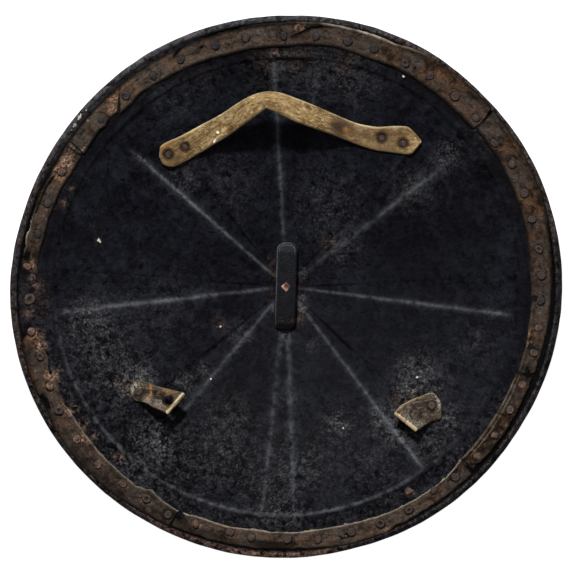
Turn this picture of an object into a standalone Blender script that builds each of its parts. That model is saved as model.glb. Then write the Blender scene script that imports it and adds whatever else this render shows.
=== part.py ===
"""Round iron shield of the rondache kind, lying on its front with the inside up.

The body is one dished sheet of iron. Eight rays are pressed outwards in it, a step
parts the field from the border, and the edge is rolled. Strips of lining leather are
riveted round the border. An arm strap and two stubs of a second strap are riveted
inside, and a bar carries the tang of the stud on the front.

Metres, +Z up. The origin is the middle of the stud's flat end, on which the shield lies.
"""

import math

import bmesh
import bpy
from mathutils import Matrix, Vector

# Sheet, outline and section
LONG_DIAMETER = 0.582
SHORT_DIAMETER = 0.570
LONG_AXIS_DEG = 21.0
SHEET = 0.0018
EDGE_ROLL_DIAMETER = 0.0084
BORDER_WIDTH = 0.034
BORDER_RISE = 0.0035
STEP_WIDTH = 0.004
STEP_HEIGHT = 0.003
DISH_DEPTH = 0.050
DISH_POWER = 1.35
FIELD_RING_SHARES = (0.45, 0.72)

# Rays pressed into the field: middle direction and width in degrees, counted
# anticlockwise from +X with the inside in view
RAYS = (
    (-2.6, 9.4),
    (42.0, 10.5),
    (87.8, 12.0),
    (133.5, 10.0),
    (181.5, 10.5),
    (225.0, 11.0),
    (268.0, 8.2),
    (311.4, 9.4),
)
RAY_DEPTH = 0.0025
RAY_EDGE_DEG = 0.9
RAY_START = 0.015
RAY_FULL = 0.045
FACETS_BETWEEN_RAYS = 4

# Stud, rosette and backing bar at the middle
STUD_HEIGHT = 0.009
STUD_RADIUS = 0.015
STUD_FLAT_RADIUS = 0.011
TANG_SIDE = 0.0066
PEENED_SIDE = 0.0080
PEENED_HEIGHT = 0.0012
ROSETTE_RADIUS = 0.020
ROSETTE_THICKNESS = 0.0016
TURNED_SIDES = 20
BAR_LENGTH = 0.094
BAR_WIDTH = 0.0218
BAR_THICKNESS = 0.0042
BAR_CORNER_RADIUS = 0.006
BAR_FOOT_LENGTH = 0.011
BAR_FOOT_DROP = 0.0030
BAR_TURN_DEG = -1.6
BAR_BEVEL = 0.0010

# Leather lining of the border. Each strip has its name, its first and last direction, its
# width at both ends, how far its rivets sit from its outer edge at both ends, and the
# directions of the rivets, which are set by hand. All directions are in degrees, clockwise
# from the top
LINING = (
    (
        "lining_top",
        (-44.0, 49.9),
        (0.0245, 0.0215),
        (0.0150, 0.0120),
        (-40.0, -32.2, -24.9, -16.4, -9.3, -0.6, 6.8, 14.1, 20.3, 28.0, 34.3, 41.6, 48.3),
    ),
    (
        "lining_right",
        (50.6, 110.6),
        (0.0215, 0.0195),
        (0.0130, 0.0105),
        (55.4, 61.5, 68.6, 74.7, 81.6, 87.5, 93.1, 99.3, 105.0),
    ),
    (
        "lining_patch_right",
        (111.3, 134.0),
        (0.0190, 0.0175),
        (0.0100, 0.0100),
        (113.2, 118.8, 125.5, 132.0),
    ),
    (
        "lining_bottom",
        (134.8, 205.0),
        (0.0165, 0.0180),
        (0.0100, 0.0110),
        (138.4, 144.0, 151.2, 158.3, 165.1, 172.8, 179.6, 187.9, 192.9, 200.8),
    ),
    (
        "lining_lower_left",
        (205.8, 262.0),
        (0.0190, 0.0180),
        (0.0095, 0.0085),
        (208.0, 213.4, 219.7, 226.6, 233.9, 241.4, 247.1, 254.2, 260.0),
    ),
    (
        "lining_left",
        (272.6, 302.2),
        (0.0195, 0.0225),
        (0.0085, 0.0150),
        (267.2, 274.5, 282.0, 289.3, 297.0),
    ),
    (
        "lining_patch_left",
        (303.0, 314.4),
        (0.0230, 0.0230),
        (0.0150, 0.0160),
        (304.9, 312.2),
    ),
)
LINING_THICKNESS = 0.0025
LINING_EDGE_GAP = 0.0015
LINING_FACET_DEG = 7.0

# Rivets. A head has a rim and a smaller crown
SHANK_RADIUS = 0.0020
RIM_HEAD_RADIUS = 0.0042
RIM_HEAD_HEIGHT = 0.0016
FRONT_HEAD_RADIUS = 0.0050
FRONT_HEAD_HEIGHT = 0.0026
STRAP_HEAD_RADIUS = 0.0040
STRAP_HEAD_HEIGHT = 0.0014
CROWN_SHARE = 0.6
RIVET_SIDES = 5
STRAP_RIVET_SIDES = 8

# Arm strap: stations from the left end to the right one. Each has the upper and the
# lower edge as X, Y, then how far each edge stands off the sheet, in steps of STRAP_STEP,
# as the stations and rivets of the stubs below are too
STRAP_STEP = 0.001
STRAP_STATIONS = (
    (-133.8, 144.0, -133.8, 135.6, 0.0, 0.0),
    (-129.0, 150.9, -124.8, 127.7, 0.0, 0.0),
    (-112.2, 159.3, -101.6, 136.7, 0.0, 0.0),
    (-91.1, 170.4, -78.4, 149.9, 5.0, 6.0),
    (-67.9, 182.3, -57.4, 162.5, 16.0, 20.0),
    (-44.7, 196.3, -36.3, 177.3, 28.0, 36.0),
    (-27.5, 203.2, -25.0, 185.8, 32.0, 43.0),
    (-14.0, 204.2, -14.5, 185.5, 33.0, 44.0),
    (-2.5, 201.5, -6.7, 181.2, 31.0, 42.0),
    (24.9, 192.6, 17.5, 171.0, 22.0, 31.0),
    (52.3, 181.3, 46.0, 161.5, 11.0, 16.0),
    (77.6, 172.8, 72.3, 153.0, 2.0, 3.0),
    (109.2, 170.4, 105.0, 143.9, 0.0, 0.0),
    (130.3, 168.3, 131.4, 140.6, 0.0, 0.0),
    (141.9, 157.2, 141.9, 150.9, 0.0, 0.0),
)
STRAP_THICKNESS = 0.0034
STRAP_RIVETS = (
    ("strap_rivet_left_outer", -124.8, 139.9),
    ("strap_rivet_left_inner", -107.0, 147.9),
    ("strap_rivet_right_inner", 101.0, 157.1),
    ("strap_rivet_right_outer", 123.7, 151.5),
)
HEAD_SINK = 0.0020

# Stubs of the second strap, from the riveted end to the cut end
LEFT_STUB_STATIONS = (
    (-164.9, -105.3, -164.9, -111.1, 0.0, 0.0),
    (-159.6, -100.5, -160.2, -117.9, 0.0, 0.0),
    (-151.2, -100.5, -151.2, -123.2, 1.0, 1.0),
    (-143.8, -102.6, -144.3, -126.4, 4.0, 4.0),
    (-125.9, -107.7, -134.3, -131.1, 13.0, 13.0),
    (-106.9, -114.2, -124.8, -134.8, 27.0, 27.0),
)
LEFT_STUB_RIVET = ("stub_rivet_left", -153.8, -111.1)
LEFT_STUB_EMPTY_HOLE = (-123.8, -120.6, 0.0042)
RIGHT_STUB_STATIONS = (
    (154.6, -113.7, 164.1, -126.9, 0.0, 0.0),
    (140.9, -119.5, 161.9, -139.0, 0.5, 0.5),
    (128.5, -126.0, 151.5, -145.0, 2.5, 3.0),
    (120.5, -131.2, 144.0, -149.3, 8.0, 9.0),
    (114.5, -135.9, 137.7, -151.7, 16.0, 17.0),
)
RIGHT_STUB_RIVETS = (
    ("stub_rivet_right_outer", 154.5, -125.5),
    ("stub_rivet_right_inner", 136.6, -134.3),
)
STUB_THICKNESS = 0.0045

GAP = 0.0003
CUT_MARGIN = 0.004

LONG_RADIUS = LONG_DIAMETER / 2
BORDER_END = LONG_RADIUS - EDGE_ROLL_DIAMETER
STEP_END = BORDER_END - BORDER_WIDTH
FIELD_RADIUS = STEP_END - STEP_WIDTH
TANG_CORNER = TANG_SIDE / math.sqrt(2)
TANG_HOLE = TANG_CORNER + GAP
SHEET_BOTTOM = STUD_HEIGHT + GAP + ROSETTE_THICKNESS + GAP


def material(name, colour, roughness, metallic):
    """A plain Principled material of this colour."""
    made = bpy.data.materials.new(name)
    made.use_nodes = True
    shader = made.node_tree.nodes["Principled BSDF"]
    shader.inputs["Base Color"].default_value = (*colour, 1.0)
    shader.inputs["Roughness"].default_value = roughness
    shader.inputs["Metallic"].default_value = metallic
    return made


def new_object(name, mesh, collection, finish=None):
    """An object for this mesh in this collection."""
    made = bpy.data.objects.new(name, mesh)
    collection.objects.link(made)
    if finish:
        mesh.materials.append(finish)
    return made


def make_helper(obj):
    """Marks an object as a cutter or guide."""
    obj.hide_render = True
    obj.display_type = "WIRE"


def mesh_of(bm, name):
    """The mesh of this bmesh, which is freed."""
    mesh = bpy.data.meshes.new(name)
    bm.to_mesh(mesh)
    bm.free()
    return mesh


def boolean(obj, operation, other):
    """Adds an exact Boolean of obj with other."""
    modifier = obj.modifiers.new(f"{operation} {other.name}", "BOOLEAN")
    modifier.operation = operation
    modifier.solver = "EXACT"
    modifier.object = other


def smooth(obj, angle_deg=35):
    """Shades obj smooth, with sharp edges where the faces turn more than this."""
    obj.data.shade_smooth()
    obj.data.set_sharp_from_angle(angle=math.radians(angle_deg))


def outline_share(angle):
    """Radius of the oval in this direction, as a share of the long radius."""
    turn = angle - math.radians(LONG_AXIS_DEG)
    across = math.hypot(SHORT_DIAMETER * math.cos(turn), LONG_DIAMETER * math.sin(turn))
    return SHORT_DIAMETER / across


def clock(degrees):
    """Direction in radians of an angle counted clockwise from the top."""
    return math.radians(90 - degrees)


def plan_point(ring, angle):
    """X and Y of a point on a ring, whose radius is given on the long axis."""
    radius = ring * outline_share(angle)
    return radius * math.cos(angle), radius * math.sin(angle)


def sheet_rings():
    """Radii on the long axis at which the sheet's section has a corner."""
    field = [share * FIELD_RADIUS for share in FIELD_RING_SHARES]
    return [TANG_HOLE, RAY_START, RAY_FULL, *field, FIELD_RADIUS, STEP_END, BORDER_END]


def ring_height(ring):
    """Height of the sheet's lower face at one of its rings, without the rays."""
    dish = DISH_DEPTH * (min(ring, FIELD_RADIUS) / FIELD_RADIUS) ** DISH_POWER
    step = STEP_HEIGHT if ring > FIELD_RADIUS else 0.0
    rise = BORDER_RISE * max(0.0, ring - STEP_END) / BORDER_WIDTH
    return SHEET_BOTTOM + dish + step + rise


def lower_height(ring):
    """Height of the sheet's lower face, which is straight between its rings."""
    rings = sheet_rings()
    if ring <= rings[0]:
        return ring_height(rings[0])
    for low, high in zip(rings, rings[1:]):
        if ring <= high:
            share = (ring - low) / (high - low)
            return ring_height(low) * (1 - share) + ring_height(high) * share
    return ring_height(rings[-1])


def ray_depth(ring, angle):
    """How far the sheet is pressed outwards here by a ray."""
    if ring > FIELD_RADIUS:
        return 0.0
    start = min(max((ring - RAY_START) / (RAY_FULL - RAY_START), 0.0), 1.0)
    deepest = 0.0
    for middle, width in RAYS:
        off = abs((math.degrees(angle) - middle + 180) % 360 - 180)
        inside = (width / 2 + RAY_EDGE_DEG / 2 - off) / RAY_EDGE_DEG
        deepest = max(deepest, min(max(inside, 0.0), 1.0))
    return RAY_DEPTH * start * deepest


def inner_height(x, y, rays=True):
    """Height of the sheet's inner face over this point of the plan."""
    angle = math.atan2(y, x)
    ring = math.hypot(x, y) / outline_share(angle)
    height = lower_height(ring) + SHEET
    return height - ray_depth(ring, angle) if rays else height


def inner_normal(x, y):
    """Unit normal of the sheet's inner face, without the rays."""
    step = 0.002
    slope_x = inner_height(x + step, y, False) - inner_height(x - step, y, False)
    slope_y = inner_height(x, y + step, False) - inner_height(x, y - step, False)
    return Vector((-slope_x / (2 * step), -slope_y / (2 * step), 1)).normalized()


def upright(point, normal):
    """Matrix that stands +Z along normal at point."""
    turn = Vector((0, 0, 1)).rotation_difference(normal)
    return Matrix.Translation(point) @ turn.to_matrix().to_4x4()


def sheet_directions():
    """Directions, in degrees, of the lines along which the sheet is faceted."""
    lines = []
    for index, (middle, width) in enumerate(RAYS):
        edge = (width - RAY_EDGE_DEG) / 2
        far = (width + RAY_EDGE_DEG) / 2
        lines += [middle - far, middle - edge, middle, middle + edge, middle + far]
        after, after_width = RAYS[(index + 1) % len(RAYS)]
        end = after - (after_width + RAY_EDGE_DEG) / 2
        end += 360 if end < middle else 0
        step = (end - middle - far) / FACETS_BETWEEN_RAYS
        lines += [middle + far + step * part for part in range(1, FACETS_BETWEEN_RAYS)]
    return lines


def sheet_section():
    """Closed section of the sheet and its rolled edge, as radius and height."""
    rings = sheet_rings()
    lower = [(ring, ring_height(ring)) for ring in rings]
    upper = [(ring, ring_height(ring) + SHEET) for ring in reversed(rings)]
    roll = EDGE_ROLL_DIAMETER / 2
    middle = (LONG_RADIUS - roll, ring_height(BORDER_END) + roll)
    first = -90.0
    last = 180 + math.degrees(math.asin((roll - SHEET) / roll))
    parts = 5
    arc = []
    for part in range(parts + 1):
        turn = math.radians(first + (last - first) * part / parts)
        arc.append((middle[0] + roll * math.cos(turn), middle[1] + roll * math.sin(turn)))
    return lower[:-1] + arc + upper[1:]


def make_plate(collection, finish):
    """The iron sheet: its section is turned, then the rays and the oval are pressed in."""
    directions = sheet_directions()
    bm = bmesh.new()
    points = [bm.verts.new((radius, 0, height)) for radius, height in sheet_section()]
    for first, second in zip(points, points[1:] + points[:1]):
        bm.edges.new((first, second))
    bmesh.ops.spin(
        bm,
        geom=bm.verts[:] + bm.edges[:],
        axis=(0, 0, 1),
        cent=(0, 0, 0),
        angle=math.tau,
        steps=len(directions),
        use_merge=True,
    )
    step = math.tau / len(directions)
    for vert in bm.verts:
        ring = math.hypot(vert.co.x, vert.co.y)
        line = round(math.atan2(vert.co.y, vert.co.x) / step) % len(directions)
        angle = math.radians(directions[line])
        x, y = plan_point(ring, angle)
        vert.co = (x, y, vert.co.z - ray_depth(ring - GAP, angle))
    bmesh.ops.recalc_face_normals(bm, faces=bm.faces)
    plate = new_object("shield_plate", mesh_of(bm, "shield_plate"), collection, finish)
    smooth(plate, 12)
    return plate


def turned(name, profile, sides, collection, finish=None):
    """A turned solid from a profile of radius and height that runs from its top down."""
    mesh = bpy.data.meshes.new(name)
    points = [(radius, 0, height) for radius, height in profile]
    mesh.from_pydata(points, [(i, i + 1) for i in range(len(points) - 1)], [])
    made = new_object(name, mesh, collection, finish)
    screw = made.modifiers.new("turn", "SCREW")
    screw.axis = "Z"
    screw.steps = sides
    screw.render_steps = sides
    screw.use_merge_vertices = True
    screw.merge_threshold = 0.00001
    return made


def rivet_profile(head_base, head_radius, head_height, front_base, shank=SHANK_RADIUS):
    """A rivet seen from the inside: upper head, shank, and domed head on the front."""
    front = FRONT_HEAD_RADIUS
    return [
        (0, head_base + head_height),
        (head_radius * CROWN_SHARE, head_base + head_height),
        (head_radius, head_base + head_height * 0.3),
        (head_radius, head_base),
        (shank, head_base),
        (shank, front_base),
        (front, front_base),
        (front * 0.75, front_base - FRONT_HEAD_HEIGHT * 0.65),
        (0, front_base - FRONT_HEAD_HEIGHT),
    ]


def baked(obj):
    """The evaluated mesh of obj, which is removed."""
    graph = bpy.context.evaluated_depsgraph_get()
    mesh = bpy.data.meshes.new_from_object(obj.evaluated_get(graph))
    bpy.data.objects.remove(obj)
    return mesh


def joined_copies(name, mesh, matrices, collection):
    """One helper object with a copy of mesh at each matrix."""
    bm = bmesh.new()
    for matrix in matrices:
        before = len(bm.verts)
        bm.from_mesh(mesh)
        bm.verts.ensure_lookup_table()
        bmesh.ops.transform(bm, matrix=matrix, verts=bm.verts[before:])
    bmesh.ops.recalc_face_normals(bm, faces=bm.faces)
    made = new_object(name, mesh_of(bm, name), collection)
    make_helper(made)
    return made


def between(ends, share):
    """Value at this share of the way between two ends."""
    return ends[0] + (ends[1] - ends[0]) * share


def rim_rivet_places():
    """A matrix for each rivet of the lining, at the sheet's inner face."""
    places = []
    for _, ends, _, insets, directions in LINING:
        for direction in directions:
            share = (direction - ends[0]) / (ends[1] - ends[0])
            ring = BORDER_END - between(insets, share)
            x, y = plan_point(ring, clock(direction))
            point = Vector((x, y, inner_height(x, y)))
            places.append(upright(point, inner_normal(x, y)))
    return places


def fuse_rim_rivets(plate, places, helpers):
    """Joins the rivets of the lining to the sheet that they are peened through."""
    head_base = LINING_THICKNESS + 2 * GAP
    front_base = -SHEET / 2
    profile = [
        (0, head_base + RIM_HEAD_HEIGHT),
        (RIM_HEAD_RADIUS * CROWN_SHARE, head_base + RIM_HEAD_HEIGHT),
        (RIM_HEAD_RADIUS, head_base),
        (SHANK_RADIUS, head_base),
        (SHANK_RADIUS, front_base),
        (FRONT_HEAD_RADIUS, front_base),
        (FRONT_HEAD_RADIUS * CROWN_SHARE, -SHEET - FRONT_HEAD_HEIGHT),
        (0, -SHEET - FRONT_HEAD_HEIGHT),
    ]
    rivet = turned("rim_rivet", profile, RIVET_SIDES, helpers)
    rivets = joined_copies("rim_rivets", baked(rivet), places, helpers)
    boolean(plate, "UNION", rivets)


def rivet_holes(places, helpers):
    """Cutter for the holes of the lining's rivets in the leather."""
    radius = SHANK_RADIUS + GAP
    reach = LINING_THICKNESS + CUT_MARGIN
    profile = [(0, reach), (radius, reach), (radius, -CUT_MARGIN), (0, -CUT_MARGIN)]
    hole = turned("rim_rivet_hole", profile, RIVET_SIDES, helpers)
    return joined_copies("rim_rivet_holes", baked(hole), places, helpers)


def ribbon(name, rows, thickness, collection, finish):
    """A strip of leather from rows of points on its lower face, thickened upwards."""
    across = len(rows[0])
    bm = bmesh.new()
    bmesh.ops.create_grid(bm, x_segments=len(rows) - 1, y_segments=across - 1, size=1)
    bm.verts.ensure_lookup_table()
    for vert in bm.verts:
        row = round((vert.co.x + 1) / 2 * (len(rows) - 1))
        column = round((vert.co.y + 1) / 2 * (across - 1))
        vert.co = rows[row][column]
    bm.normal_update()
    if sum(face.normal.z for face in bm.faces) < 0:
        bmesh.ops.reverse_faces(bm, faces=bm.faces)
    made = new_object(name, mesh_of(bm, name), collection, finish)
    solid = made.modifiers.new("thickness", "SOLIDIFY")
    solid.thickness = thickness
    solid.offset = 1
    solid.use_even_offset = True
    return made


def make_lining(collection, finish, holes):
    """The strips of leather round the border, each with holes for its rivets."""
    for name, ends, widths, _, _ in LINING:
        parts = max(2, round((ends[1] - ends[0]) / LINING_FACET_DEG))
        rows = []
        for part in range(parts + 1):
            angle = clock(between(ends, part / parts))
            width = between(widths, part / parts)
            row = []
            for ring in (BORDER_END - width, BORDER_END - LINING_EDGE_GAP):
                x, y = plan_point(ring, angle)
                row.append(Vector((x, y, inner_height(x, y) + GAP)))
            rows.append(row)
        strip = ribbon(name, rows, LINING_THICKNESS, collection, finish)
        boolean(strip, "DIFFERENCE", holes)


def strap_rows(stations):
    """Three points for each station of a strap: upper edge, middle and lower edge."""
    rows = []
    for upper_x, upper_y, lower_x, lower_y, upper_lift, lower_lift in stations:
        row = []
        for share in (1.0, 0.5, 0.0):
            x = (upper_x * (1 - share) + lower_x * share) * STRAP_STEP
            y = (upper_y * (1 - share) + lower_y * share) * STRAP_STEP
            lift = (upper_lift * (1 - share) + lower_lift * share) * STRAP_STEP
            row.append(Vector((x, y, inner_height(x, y, False) + GAP + lift)))
        rows.append(row)
    return rows


def surface_over(rows, x, y):
    """Point and normal of a strap's lower face over this point of the plan."""
    best = None
    for first, second in zip(rows, rows[1:]):
        for side in range(len(first) - 1):
            corners = (first[side], first[side + 1], second[side + 1], second[side])
            middle = sum(corners, Vector()) / 4
            far = math.hypot(middle.x - x, middle.y - y)
            if best is None or far < best[0]:
                normal = (corners[2] - corners[0]).cross(corners[3] - corners[1])
                best = (far, middle, normal.normalized())
    _, middle, normal = best
    if normal.z < 0:
        normal.negate()
    drop = (middle.x - x) * normal.x + (middle.y - y) * normal.y
    return Vector((x, y, middle.z + drop / normal.z)), normal


def plate_hole(plate, matrix, helpers, name):
    """Cuts a rivet's hole in the sheet."""
    radius = SHANK_RADIUS + GAP
    profile = [(0, CUT_MARGIN), (radius, CUT_MARGIN), (radius, -CUT_MARGIN), (0, -CUT_MARGIN)]
    hole = turned(f"{name}_sheet_hole", profile, STRAP_RIVET_SIDES, helpers)
    hole.matrix_world = matrix
    make_helper(hole)
    boolean(plate, "DIFFERENCE", hole)


def add_strap_rivet(plate, strap, rows, thickness, sink, rivet, collection, finish, helpers):
    """A rivet through a strap and the sheet, with its head sunk in the leather."""
    name, x, y = rivet[0], rivet[1] * STRAP_STEP, rivet[2] * STRAP_STEP
    face, _ = surface_over(rows, x, y)
    sheet_point = Vector((x, y, inner_height(x, y)))
    normal = inner_normal(x, y)
    seat = upright(sheet_point, normal)
    lift = (face - sheet_point).z * normal.z
    leather_top = lift + thickness
    radius = SHANK_RADIUS + GAP
    pocket = STRAP_HEAD_RADIUS + 2 * GAP
    profile = [
        (0, leather_top + CUT_MARGIN),
        (pocket, leather_top + CUT_MARGIN),
        (pocket, leather_top - sink),
        (radius, leather_top - sink),
        (radius, lift - CUT_MARGIN),
        (0, lift - CUT_MARGIN),
    ]
    hole = turned(f"{name}_hole", profile, STRAP_RIVET_SIDES, helpers)
    hole.matrix_world = seat
    make_helper(hole)
    boolean(strap, "DIFFERENCE", hole)
    plate_hole(plate, seat, helpers, name)
    base = leather_top - sink + GAP
    made = turned(
        name,
        rivet_profile(base, STRAP_HEAD_RADIUS, STRAP_HEAD_HEIGHT, -SHEET - GAP),
        STRAP_RIVET_SIDES,
        collection,
        finish,
    )
    made.matrix_world = seat
    smooth(made)


def make_straps(plate, collection, leather, iron, helpers):
    """The arm strap and the two stubs, each with its rivets."""
    rows = strap_rows(STRAP_STATIONS)
    strap = ribbon("arm_strap", rows, STRAP_THICKNESS, collection, leather)
    for rivet in STRAP_RIVETS:
        add_strap_rivet(
            plate, strap, rows, STRAP_THICKNESS, HEAD_SINK, rivet, collection, iron, helpers
        )
    rows = strap_rows(LEFT_STUB_STATIONS)
    stub = ribbon("strap_stub_left", rows, STUB_THICKNESS, collection, leather)
    add_strap_rivet(
        plate, stub, rows, STUB_THICKNESS, 0.0, LEFT_STUB_RIVET, collection, iron, helpers
    )
    x, y, radius = LEFT_STUB_EMPTY_HOLE
    point, normal = surface_over(rows, x * STRAP_STEP, y * STRAP_STEP)
    reach = STUB_THICKNESS + CUT_MARGIN
    profile = [(0, reach), (radius, reach), (radius, -CUT_MARGIN), (0, -CUT_MARGIN)]
    hole = turned("stub_empty_hole", profile, STRAP_RIVET_SIDES, helpers)
    hole.matrix_world = upright(point, normal)
    make_helper(hole)
    boolean(stub, "DIFFERENCE", hole)
    rows = strap_rows(RIGHT_STUB_STATIONS)
    stub = ribbon("strap_stub_right", rows, STUB_THICKNESS, collection, leather)
    for rivet in RIGHT_STUB_RIVETS:
        add_strap_rivet(
            plate, stub, rows, STUB_THICKNESS, 0.0, rivet, collection, iron, helpers
        )


def bar_base():
    """Height of the backing bar's lower face between its feet, which rest on the dish."""
    highest = 0.0
    for side in (-1, 1):
        x = side * BAR_WIDTH / 2
        highest = max(highest, inner_height(x, BAR_LENGTH / 2, False))
    return highest + GAP + BAR_FOOT_DROP


def bar_outline():
    """Outline of the bar as X and Y, with rounded corners."""
    half_width = BAR_WIDTH / 2 - BAR_CORNER_RADIUS
    half_length = BAR_LENGTH / 2 - BAR_CORNER_RADIUS
    corners = ((1, 1, 0), (-1, 1, 90), (-1, -1, 180), (1, -1, 270))
    parts = 3
    outline = []
    for side, end, first in corners:
        for part in range(parts + 1):
            turn = math.radians(first + 90 * part / parts)
            x = side * half_width + BAR_CORNER_RADIUS * math.cos(turn)
            y = end * half_length + BAR_CORNER_RADIUS * math.sin(turn)
            outline.append((x, y))
    return outline


def make_bar(collection, finish, helpers):
    """Iron bar whose ends are bent down as feet, with a square hole for the tang."""
    curve = bpy.data.curves.new("backing_bar", "CURVE")
    curve.dimensions = "2D"
    curve.fill_mode = "BOTH"
    curve.extrude = BAR_THICKNESS / 2
    spline = curve.splines.new("POLY")
    outline = bar_outline()
    spline.points.add(len(outline) - 1)
    for point, (x, y) in zip(spline.points, outline):
        point.co = (x, y, 0, 1)
    spline.use_cyclic_u = True
    mesh = baked(new_object("bar_outline", curve, helpers))
    bm = bmesh.new()
    bm.from_mesh(mesh)
    bmesh.ops.remove_doubles(bm, verts=bm.verts, dist=0.00001)
    bend = BAR_LENGTH / 2 - BAR_FOOT_LENGTH
    for end in (-1, 1):
        everything = bm.verts[:] + bm.edges[:] + bm.faces[:]
        bmesh.ops.bisect_plane(bm, geom=everything, plane_co=(0, end * bend, 0), plane_no=(0, 1, 0))
    for vert in bm.verts:
        past = max(0.0, abs(vert.co.y) - bend)
        vert.co.z -= BAR_FOOT_DROP * past / BAR_FOOT_LENGTH
    bmesh.ops.recalc_face_normals(bm, faces=bm.faces)
    bar = new_object("backing_bar", mesh_of(bm, "backing_bar"), collection, finish)
    bar.location = (0, 0, bar_base() + BAR_THICKNESS / 2)
    bar.rotation_euler = (0, 0, math.radians(BAR_TURN_DEG))
    bevel = bar.modifiers.new("edge", "BEVEL")
    bevel.width = BAR_BEVEL
    bevel.segments = 1
    bevel.limit_method = "ANGLE"
    bevel.angle_limit = math.radians(60)
    side = TANG_SIDE + 2 * GAP
    hole = box("bar_tang_hole", side, side, BAR_THICKNESS + CUT_MARGIN, helpers)
    hole.location = bar.location
    hole.rotation_euler = (0, 0, math.radians(45))
    make_helper(hole)
    boolean(bar, "DIFFERENCE", hole)


def box(name, x_size, y_size, z_size, collection, finish=None):
    """A box about its own middle."""
    bm = bmesh.new()
    bmesh.ops.create_cube(bm, size=1)
    bmesh.ops.scale(bm, vec=(x_size, y_size, z_size), verts=bm.verts)
    return new_object(name, mesh_of(bm, name), collection, finish)


def make_rosette(collection, finish):
    """Round washer between the stud and the front of the sheet."""
    top = STUD_HEIGHT + GAP + ROSETTE_THICKNESS
    profile = [
        (TANG_HOLE, top),
        (RAY_START, top + lower_height(RAY_START) - lower_height(0) - GAP / 2),
        (ROSETTE_RADIUS, top + lower_height(RAY_START) - lower_height(0) - GAP / 2),
        (ROSETTE_RADIUS, top - ROSETTE_THICKNESS / 2),
        (STUD_RADIUS, top - ROSETTE_THICKNESS),
        (TANG_HOLE, top - ROSETTE_THICKNESS),
        (TANG_HOLE, top),
    ]
    smooth(turned("front_rosette", profile, TURNED_SIDES, collection, finish))


def make_stud(collection, finish, helpers):
    """Low front stud with a flat end, its square tang and the tang's peened end."""
    profile = [
        (0, STUD_HEIGHT),
        (STUD_RADIUS, STUD_HEIGHT),
        (STUD_RADIUS, STUD_HEIGHT * 0.72),
        (STUD_RADIUS * 0.88, STUD_HEIGHT * 0.36),
        ((STUD_RADIUS + STUD_FLAT_RADIUS) / 2, STUD_HEIGHT * 0.12),
        (STUD_FLAT_RADIUS, 0),
        (0, 0),
    ]
    stud = turned("front_stud", profile, TURNED_SIDES, collection, finish)
    smooth(stud)
    bar_top = bar_base() + BAR_THICKNESS
    overlap = STUD_HEIGHT / 2
    length = bar_top + 2 * GAP - STUD_HEIGHT + overlap
    tang = box("tang", TANG_SIDE, TANG_SIDE, length, helpers)
    tang.location = (0, 0, STUD_HEIGHT - overlap + length / 2)
    peened = box("peened_end", PEENED_SIDE, PEENED_SIDE, PEENED_HEIGHT, helpers)
    peened.location = (0, 0, bar_top + GAP + PEENED_HEIGHT / 2)
    for piece in (tang, peened):
        piece.rotation_euler = (0, 0, math.radians(45))
        make_helper(piece)
        boolean(stud, "UNION", piece)


def main():
    for obj in list(bpy.data.objects):
        bpy.data.objects.remove(obj)
    collection = bpy.data.collections.new("rondache_shield")
    helpers = bpy.data.collections.new("cutters")
    bpy.context.scene.collection.children.link(collection)
    bpy.context.scene.collection.children.link(helpers)
    black_iron = material("black_iron", (0.022, 0.023, 0.027), 0.55, 0.6)
    rusty_iron = material("rusty_iron", (0.085, 0.045, 0.032), 0.75, 0.4)
    lining_leather = material("lining_leather", (0.13, 0.085, 0.055), 0.8, 0.0)
    strap_leather = material("strap_leather", (0.42, 0.28, 0.12), 0.85, 0.0)

    plate = make_plate(collection, black_iron)
    places = rim_rivet_places()
    fuse_rim_rivets(plate, places, helpers)
    make_lining(collection, lining_leather, rivet_holes(places, helpers))
    make_straps(plate, collection, strap_leather, rusty_iron, helpers)
    make_rosette(collection, black_iron)
    make_bar(collection, black_iron, helpers)
    make_stud(collection, black_iron, helpers)


main()
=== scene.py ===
"""Round iron shield with a leather lining, seen from the inside, in the order of its making."""

import math

import bmesh
import bpy
import numpy as np
from mathutils import Matrix, Vector, noise


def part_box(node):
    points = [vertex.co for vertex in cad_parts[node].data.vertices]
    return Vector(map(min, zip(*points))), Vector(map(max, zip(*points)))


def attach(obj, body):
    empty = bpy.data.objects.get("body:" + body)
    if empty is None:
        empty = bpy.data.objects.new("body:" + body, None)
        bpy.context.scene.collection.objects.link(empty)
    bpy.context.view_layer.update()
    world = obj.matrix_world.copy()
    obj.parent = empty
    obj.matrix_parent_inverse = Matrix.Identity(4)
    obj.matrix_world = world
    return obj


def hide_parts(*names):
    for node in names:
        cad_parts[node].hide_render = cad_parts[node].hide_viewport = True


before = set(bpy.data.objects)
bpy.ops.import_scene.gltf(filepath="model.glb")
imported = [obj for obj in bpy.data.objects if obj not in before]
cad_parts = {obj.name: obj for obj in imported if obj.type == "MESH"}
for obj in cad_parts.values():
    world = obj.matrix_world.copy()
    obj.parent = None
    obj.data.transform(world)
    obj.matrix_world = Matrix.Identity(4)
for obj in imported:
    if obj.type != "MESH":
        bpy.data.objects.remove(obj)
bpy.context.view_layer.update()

# The iron plate: one dished sheet of blackened iron, raised with the hammer. Eight rays are
# pressed outwards in it, a step parts the field from the border, and the edge is rolled.

# One millimetre in metres
MM = 0.001
LONG_DIAMETER = 0.582
SHORT_DIAMETER = 0.570
LONG_RADIUS = LONG_DIAMETER / 2
LONG_AXIS_DEG = 21.0
SHEET = 0.0018
EDGE_ROLL = 0.0033
BORDER_END = 0.2844
STEP_END = 0.2486
FIELD_RADIUS = 0.2446
PLATE_FOOT = 0.0112
TANG_HOLE = 0.00497
DISH_DEPTH = 0.05
DISH_POWER = 1.35
STEP_HEIGHT = 0.003
BORDER_WIDTH = 0.034
BORDER_RISE = 0.0035
RAY_DEPTH = 0.0021
RAY_EDGE_DEG = 3.0
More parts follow.
